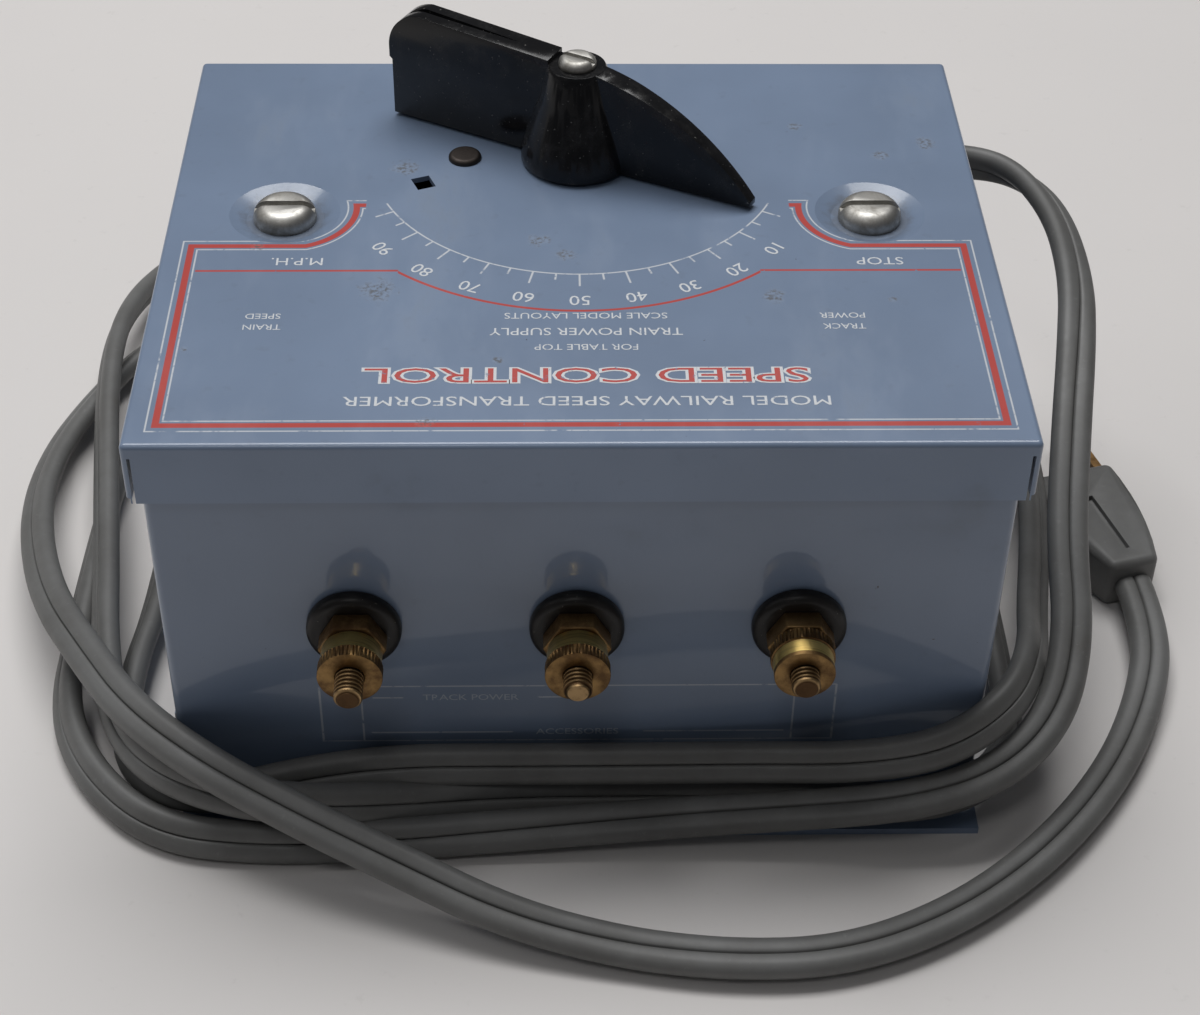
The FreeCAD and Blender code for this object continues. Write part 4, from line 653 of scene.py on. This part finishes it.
# ------------------------------------------------------------------ cover screws, post hardware and plug
class CONTROLLER_OT_fasteners(Operator):
    """Rounds the cover's slotted screws, the post hardware and the plug"""
    bl_idname = "controller.fasteners"
    bl_label = "Fasteners"

    def execute(self, context):
        for node, name, round_off, slot, finish in (
                ("cover_screws", "cover_screw_pair", 0.25, "plated_steel", "zinc"),
                ("outer_nuts", "post_nuts", 0.3, "brass", "brass"),
                ("outer_washers", "post_washers", 0.3, "phenolic", "phenolic"),
                ("plug_body", "plug_moulding", 0.3, "cord_rubber", "rubber")):
            piece = softened(node, name, round_off * MM)
            settle(piece, "controller", finish)
            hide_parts(node)
        return {"FINISHED"}


# ------------------------------------------------------------------ thumb nuts
def select_faces(piece, height):
    """Selects the flat face that lies at this height of an upright piece."""
    bpy.ops.mesh.select_all(action="DESELECT")
    mesh = bmesh.from_edit_mesh(piece.data)
    for face in mesh.faces:
        middle = face.calc_center_median()
        face.select = abs(middle.z - height) < 1e-6 and abs(face.normal.z) > 0.9
    bmesh.update_edit_mesh(piece.data)


def turned_nut(name, radius, plain_radius, bore, knurl_length, plain_length, settings):
    """One knurled nut standing on its knurled end at the origin."""
    nothing_selected()
    bpy.ops.mesh.primitive_cylinder_add(vertices=4 * settings.teeth, radius=radius, depth=knurl_length,
                                        end_fill_type="NGON", location=(0, 0, knurl_length / 2))
    bpy.ops.object.transform_apply(location=True)
    piece = bpy.context.object
    piece.name = name
    bpy.ops.object.mode_set(mode="EDIT")
    bpy.ops.mesh.select_mode(type="FACE")
    select_faces(piece, knurl_length)
    bpy.ops.mesh.inset(thickness=radius - plain_radius)
    bpy.ops.mesh.extrude_region_move(TRANSFORM_OT_translate={"value": (0, 0, plain_length)})
    bpy.ops.mesh.inset(thickness=plain_radius - bore)
    bpy.ops.mesh.delete(type="FACE")
    select_faces(piece, 0.0)
    bpy.ops.mesh.inset(thickness=radius - bore)
    bpy.ops.mesh.delete(type="FACE")
    bpy.ops.mesh.select_mode(type="EDGE")
    bpy.ops.mesh.select_all(action="DESELECT")
    bpy.ops.mesh.select_non_manifold()
    bpy.ops.mesh.bridge_edge_loops()
    bpy.ops.mesh.select_all(action="SELECT")
    bpy.ops.mesh.normals_make_consistent(inside=False)
    bpy.ops.object.mode_set(mode="OBJECT")
    run_modifier(piece, "BEVEL", width=0.15 * MM, segments=2, limit_method="ANGLE",
                 angle_limit=math.radians(50))
    cut_knurl(piece, radius, settings)
    return piece


def cut_knurl(piece, radius, settings):
    """Pulls two in every four rim vertices inward, which leaves straight ridges."""
    nothing_selected()
    choose(piece)
    step = math.pi / (2 * settings.teeth)
    for vertex in piece.data.vertices:
        on_rim = math.hypot(vertex.co.x, vertex.co.y) > radius - 0.02 * MM
        place = round(math.atan2(vertex.co.y, vertex.co.x) / step - 0.5)
        vertex.select = on_rim and place % 4 >= 2
    for edge in piece.data.edges:
        edge.select = False
    for face in piece.data.polygons:
        face.select = False
    bpy.ops.object.mode_set(mode="EDIT")
    bpy.ops.mesh.select_mode(type="VERT")
    shrink = 1.0 - settings.depth / radius
    bpy.ops.transform.resize(value=(shrink, shrink, 1.0), center_override=(0, 0, 0))
    bpy.ops.object.mode_set(mode="OBJECT")


class CONTROLLER_OT_thumb_nuts(Operator):
    """Turns and knurls the three thumb nuts on the binding posts"""
    bl_idname = "controller.thumb_nuts"
    bl_label = "Thumb nuts"

    def execute(self, context):
        settings = context.scene.controller_nuts
        for place in ("left", "middle", "right"):
            node = "thumb_nut_" + place
            low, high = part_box(node)
            radius = (high[0] - low[0]) / 2
            length = high[1] - low[1]
            piece = turned_nut("knurled_nut_" + place, radius, radius - 0.3 * MM, 2.14 * MM,
                               settings.knurl_length, length - settings.knurl_length, settings)
            knurl_outward = place != "right"
            piece.rotation_euler = (math.radians(-90 if knurl_outward else 90), 0, 0)
            start = low[1] if knurl_outward else high[1]
            piece.location = ((low[0] + high[0]) / 2, start, (low[2] + high[2]) / 2)
            settle(piece, "nut_" + place, "thumb_nut", 40.0)
            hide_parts(node)
        return {"FINISHED"}


# ------------------------------------------------------------------ cord
CORD_START = (CASE_RIGHT - 5.0 * MM, 44.0 * MM, 57.5 * MM)
PLUG_END = (95.4, -7.0, 4.75)
# The cord's route in millimetres: three turns round the case, a loop behind it, and back to the plug.
CORD_ROUTE = (
    (67.6, 44, 57.6), (76.5, 40.5, 57), (82.3, 32.1, 54), (84.3, 20.6, 48.6), (82.9, 9, 44.2),
    (80, -7, 38.3), (77.4, -24, 30), (77.2, -38.5, 22.4), (73, -51, 17), (63.5, -59.6, 13.4),
    (50, -62, 10.3), (35, -61, 7.5), (15, -60.6, 5.6), (-8, -61.4, 4), (-30, -62.6, 3),
    (-48, -63.4, 3), (-65, -61, 3), (-77.2, -48.8, 3), (-83.4, -34, 3), (-83.6, -15, 3),
    (-83.3, 5, 3), (-82.6, 25, 3), (-80, 42, 3), (-73, 56.5, 3), (-61, 66.5, 3), (-44, 70.8, 3),
    (-22, 71.4, 3), (2, 71.2, 3), (26, 71.4, 3), (48, 71, 3), (64, 66.8, 3.4), (75, 57.4, 5),
    (79.6, 44.5, 8.6), (80.2, 31, 11.6), (80, 17, 13.2), (78.6, 2, 14), (76, -13.5, 15.2),
    (73, -27.5, 17.5), (70.8, -40.5, 20.3), (65.6, -51.8, 20.8), (55.5, -57.6, 17.2),
    (42.5, -57, 13.6), (26, -55.2, 12), (7, -54.6, 11.2), (-12, -54.4, 11), (-28, -54, 10.6),
    (-42, -54.4, 8.6), (-53, -56.4, 7), (-63, -54.6, 5.6), (-70.4, -47.2, 4), (-73, -36.4, 3),
    (-73, -24.5, 3), (-71.4, -12.5, 3), (-70.7, 4, 3), (-70.4, 20.5, 3), (-70.4, 36, 3),
    (-67.5, 50, 3), (-58.5, 60.6, 4.2), (-44, 64.6, 3.8), (-26, 65, 3.8), (-6, 65.5, 3.8),
    (14, 65.2, 3.8), (33, 65.4, 3.8), (48.5, 65, 3.8), (61.2, 60.4, 4.2), (69.2, 50, 3),
    (71, 36, 3), (70.3, 17, 3), (69.8, 0, 3), (69.8, -17, 3), (69.6, -31, 3.4), (68.8, -42.6, 5.2),
    (65, -52.6, 6.6), (56.4, -58, 6.6), (44.6, -58, 5.4), (32.6, -55.6, 4.6), (21, -54.5, 4.2),
    (3, -54.3, 4.1), (-12, -55, 4.6), (-26, -57.6, 6.2), (-40, -60.5, 8.8), (-54, -60.8, 11),
    (-66.8, -53.8, 11), (-73.6, -41, 9), (-77, -26, 9), (-79.2, -9, 9), (-81.6, 8, 9),
    (-84, 25, 9.2), (-86, 41.5, 10.2), (-86.8, 57.5, 10), (-85.6, 73, 7.4), (-81, 88, 4.2),
    (-71.5, 101.5, 3), (-57.5, 112, 3), (-40, 120.4, 3), (-21, 122.5, 3), (-3, 117.5, 3),
    (6, 103, 3), (1, 88, 3), (-12, 80.5, 3), (-28, 79.4, 3), (-45, 79.8, 3), (-61, 77.8, 3),
    (-75, 70.6, 3), (-84.5, 59, 3), (-90.4, 45, 3.4), (-94.3, 30.5, 4.4), (-95, 14.5, 6),
    (-92, -2, 8.4), (-86.6, -18, 11.4), (-79, -32, 14.4), (-70, -46.6, 15.8), (-57.5, -58.6, 16.4),
    (-42.5, -67, 13.9), (-27, -73.2, 9.6), (-12, -79.4, 5.6), (4, -83.4, 3.3), (21, -86.2, 3),
    (38.5, -85.6, 3), (55.5, -78.4, 3), (71, -66.2, 3), (84, -50.5, 3), (92.5, -34, 3.4),
    (96.6, -19, 4.4),
)
# How the flat cord lies: at a point of the route, the tilt of its width from level, in degrees.
CORD_LIE = (
    (0, 90), (3, 150), (6, 180), (12, 165), (16, 125), (24, 115), (32, 130), (50, 120), (65, 120), (80, 120),
    (97, 110), (106, 40), (114, 25), (119, 5), (125, 0),
)


def cord_line(lowest):
    """The route's smooth line, kept above this height, and the place on it nearest to each route point."""
    curve = bpy.data.curves.new("cord_route", "CURVE")
    curve.dimensions = "3D"
    spline = curve.splines.new("NURBS")
    route = [CORD_START] + [tuple(part * MM for part in point) for point in CORD_ROUTE + (PLUG_END,)]
    spline.points.add(len(route) - 1)
    for point, place in zip(spline.points, route):
        point.co = (*place, 1.0)
    spline.order_u = 3
    spline.use_endpoint_u = True
    spline.resolution_u = 10
    holder = bpy.data.objects.new("cord_route", curve)
    bpy.context.scene.collection.objects.link(holder)
    bpy.context.view_layer.update()
    mesh = bpy.data.meshes.new_from_object(holder)
    line = [Vector((vertex.co.x, vertex.co.y, max(vertex.co.z, lowest))) for vertex in mesh.vertices]
    bpy.data.objects.remove(holder)
    bpy.data.meshes.remove(mesh)
    stations = []
    for place in route:
        spot = Vector(place)
        first = stations[-1] if stations else 0
        window = range(first, min(len(line), first + 60))
        stations.append(min(window, key=lambda index: (line[index] - spot).length))
    return line, stations


def cord_section(settings):
    """The outline of two strands moulded side by side, as (across, through) pairs, and its groove's edges."""
    strand = settings.thickness / 2
    centre = settings.width / 2 - strand
    lip = 0.09 * centre
    quarter = [(centre + strand * math.cos(math.radians(turn)), strand * math.sin(math.radians(turn)))
               for turn in range(0, 91, 15)]
    quarter += [(0.45 * centre, 0.985 * strand), (2.6 * lip, 0.93 * strand), (lip, 0.86 * strand)]
    upper_left = [(-across, through) for across, through in reversed(quarter)]
    upper = quarter + [(0.0, strand - settings.groove)] + upper_left
    lower = [(across, -through) for across, through in reversed(upper[1:-1])]
    section = upper + lower
    count = len(section)
    grooved = [k for k in range(count)
               if abs(section[k][0]) <= lip * 1.01 and abs(section[(k + 1) % count][0]) <= lip * 1.01]
    return section, grooved


def lie_along(stations, count):
    """The tilt in radians at every point of the line, eased between the stations that CORD_LIE names."""
    marks = [(stations[index], math.radians(tilt)) for index, tilt in CORD_LIE]
    tilts = []
    for index in range(count):
        after = next((k for k, mark in enumerate(marks) if mark[0] > index), len(marks))
        if after in (0, len(marks)):
            tilts.append(marks[min(after, len(marks) - 1)][1])
            continue
        (start, first), (end, last) = marks[after - 1], marks[after]
        share = (index - start) / (end - start)
        share = share * share * (3 - 2 * share)
        tilts.append(first + (last - first) * share)
    return tilts


class CONTROLLER_OT_cord(Operator):
    """Lays the flat two-strand cord along its route, from the case to the plug"""
    bl_idname = "controller.cord"
    bl_label = "Cord"

    def execute(self, context):
        settings = context.scene.controller_cord
        line, stations = cord_line(settings.width / 2)
        tilts = lie_along(stations, len(line))
        section, grooved = cord_section(settings)
        mesh = bmesh.new()
        rings = []
        for index, place in enumerate(line):
            before = line[max(index - 1, 0)]
            after = line[min(index + 1, len(line) - 1)]
            forward = (after - before).normalized()
            side = Vector((0, 0, 1)).cross(forward).normalized()
            rise = forward.cross(side)
            wide = side * math.cos(tilts[index]) + rise * math.sin(tilts[index])
            thin = forward.cross(wide)
            rings.append([mesh.verts.new(place + wide * across + thin * through)
                          for across, through in section])
        count = len(section)
        for ring, follower in zip(rings, rings[1:]):
            for k in range(count):
                after = (k + 1) % count
                face = mesh.faces.new((ring[k], ring[after], follower[after], follower[k]))
                # Faces in the groove take the near-black second finish, as painted shade.
                face.material_index = 1 if k in grooved else 0
        mesh.faces.new(list(reversed(rings[0])))
        mesh.faces.new(rings[-1])
        bmesh.ops.recalc_face_normals(mesh, faces=mesh.faces)
        data = bpy.data.meshes.new("flat_cord")
        mesh.to_mesh(data)
        mesh.free()
        piece = bpy.data.objects.new("flat_cord", data)
        context.scene.collection.objects.link(piece)
        settle(piece, "controller", "rubber", 50.0)
        # The groove's painted-shade finish: the same rubber, darkened.
        piece.data.materials.append(FINISHES["cord_line"])
        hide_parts("power_cord")
        return {"FINISHED"}


# ------------------------------------------------------------------ camera, lights and floor
CAMERA_LENS = 68.83
CAMERA_PLACE = (-0.0050, -0.2963, 0.2695)
CAMERA_RIGHT = Vector((0.9997, -0.0200, 0.0120))
CAMERA_UP = Vector((0.0039, 0.6498, 0.7601))
CAMERA_BACK = Vector((-0.0230, -0.7599, 0.6497))
FLOOR_SIZE = 14.0


def aimed(thing, place, target):
    """Puts a thing at its place, looking at its target."""
    thing.location = place
    thing.rotation_euler = (Vector(target) - Vector(place)).to_track_quat("-Z", "Y").to_euler()


def area_light(name, place, target, width, depth, power):
    data = bpy.data.lights.new(name, "AREA")
    data.shape = "RECTANGLE"
    data.size = width
    data.size_y = depth
    data.energy = power
    light = bpy.data.objects.new(name, data)
    bpy.context.scene.collection.objects.link(light)
    aimed(light, place, target)


class CONTROLLER_OT_stage(Operator):
    """Sets the camera, the soft lights and the pale floor"""
    bl_idname = "controller.stage"
    bl_label = "Stage"

    def execute(self, context):
        settings = context.scene.controller_light
        data = bpy.data.cameras.new("camera")
        data.lens = CAMERA_LENS
        data.sensor_width = 36.0
        camera = bpy.data.objects.new("camera", data)
        context.scene.collection.objects.link(camera)
        turned = Matrix((CAMERA_RIGHT, CAMERA_UP, CAMERA_BACK)).transposed().to_4x4()
        camera.matrix_world = Matrix.Translation(CAMERA_PLACE) @ turned
        context.scene.camera = camera
        nothing_selected()
        bpy.ops.mesh.primitive_grid_add(x_subdivisions=8, y_subdivisions=8, size=FLOOR_SIZE,
                                        location=(0, 0, 0))
        floor = context.object
        floor.name = "floor"
        shade = Shade("floor_paper")
        mottled = shade.noise(14.0, 4.0, 0.6)
        pits = shade.ramp(shade.noise(260.0, 4.0, 0.65), 0.62, 0.75)
        base = shade.blend(mottled, tuple(0.95 * part for part in settings.floor), tuple(settings.floor))
        base = shade.blend(pits * 0.12, base, (0.35, 0.33, 0.31))
        floor.data.materials.append(shade.finish(Base_Color=base, Roughness=0.7))
        area_light("sky", (-0.10, 0.42, 1.25), (0, 0, 0), 1.1, 0.6, settings.key)
        area_light("side", (-1.1, 0.1, 0.9), (0, 0, 0.03), 0.8, 0.8, 0.12 * settings.key)
        area_light("sparkle", (-0.12, -0.50, 0.85), (0, -0.06, 0.03), 0.16, 0.16, 0.035 * settings.key)
        world = bpy.data.worlds.new("studio")
        world.use_nodes = True
        backdrop = world.node_tree.nodes["Background"]
        backdrop.inputs["Color"].default_value = (0.86, 0.87, 0.90, 1.0)
        backdrop.inputs["Strength"].default_value = 0.09
        context.scene.world = world
        context.scene.view_settings.view_transform = "Standard"
        return {"FINISHED"}


class CONTROLLER_PT_panel(Panel):
    """Lists the steps that finish the controller"""
    bl_idname = "CONTROLLER_PT_panel"
    bl_label = "Model railway controller"
    bl_space_type = "VIEW_3D"
    bl_region_type = "UI"
    bl_category = "Controller"

    def draw(self, context):
        for step in STEPS:
            self.layout.operator(step.bl_idname)
        for group in SETTINGS:
            settings = getattr(context.scene, group)
            for name in settings.bl_rna.properties.keys():
                if name not in ("rna_type", "name"):
                    self.layout.prop(settings, name)


STEPS = (CONTROLLER_OT_stage, CONTROLLER_OT_finish_frame, CONTROLLER_OT_fasteners, CONTROLLER_OT_cord,
         CONTROLLER_OT_lever, CONTROLLER_OT_dial, CONTROLLER_OT_thumb_nuts)
SETTINGS = {"controller_cord": CordSettings, "controller_dial": DialSettings, "controller_nuts": NutSettings,
            "controller_light": LightSettings}


def register():
    for settings in SETTINGS.values():
        bpy.utils.register_class(settings)
    for step in STEPS:
        bpy.utils.register_class(step)
    bpy.utils.register_class(CONTROLLER_PT_panel)
    for name, settings in SETTINGS.items():
        setattr(bpy.types.Scene, name, PointerProperty(type=settings))


def unregister():
    for name in SETTINGS:
        delattr(bpy.types.Scene, name)
    bpy.utils.unregister_class(CONTROLLER_PT_panel)
    for step in reversed(STEPS):
        bpy.utils.unregister_class(step)
    for settings in reversed(list(SETTINGS.values())):
        bpy.utils.unregister_class(settings)


def main():
    register()
    for step in STEPS:
        group, name = step.bl_idname.split(".")
        getattr(getattr(bpy.ops, group), name)()


if __name__ == "__main__":
    main()
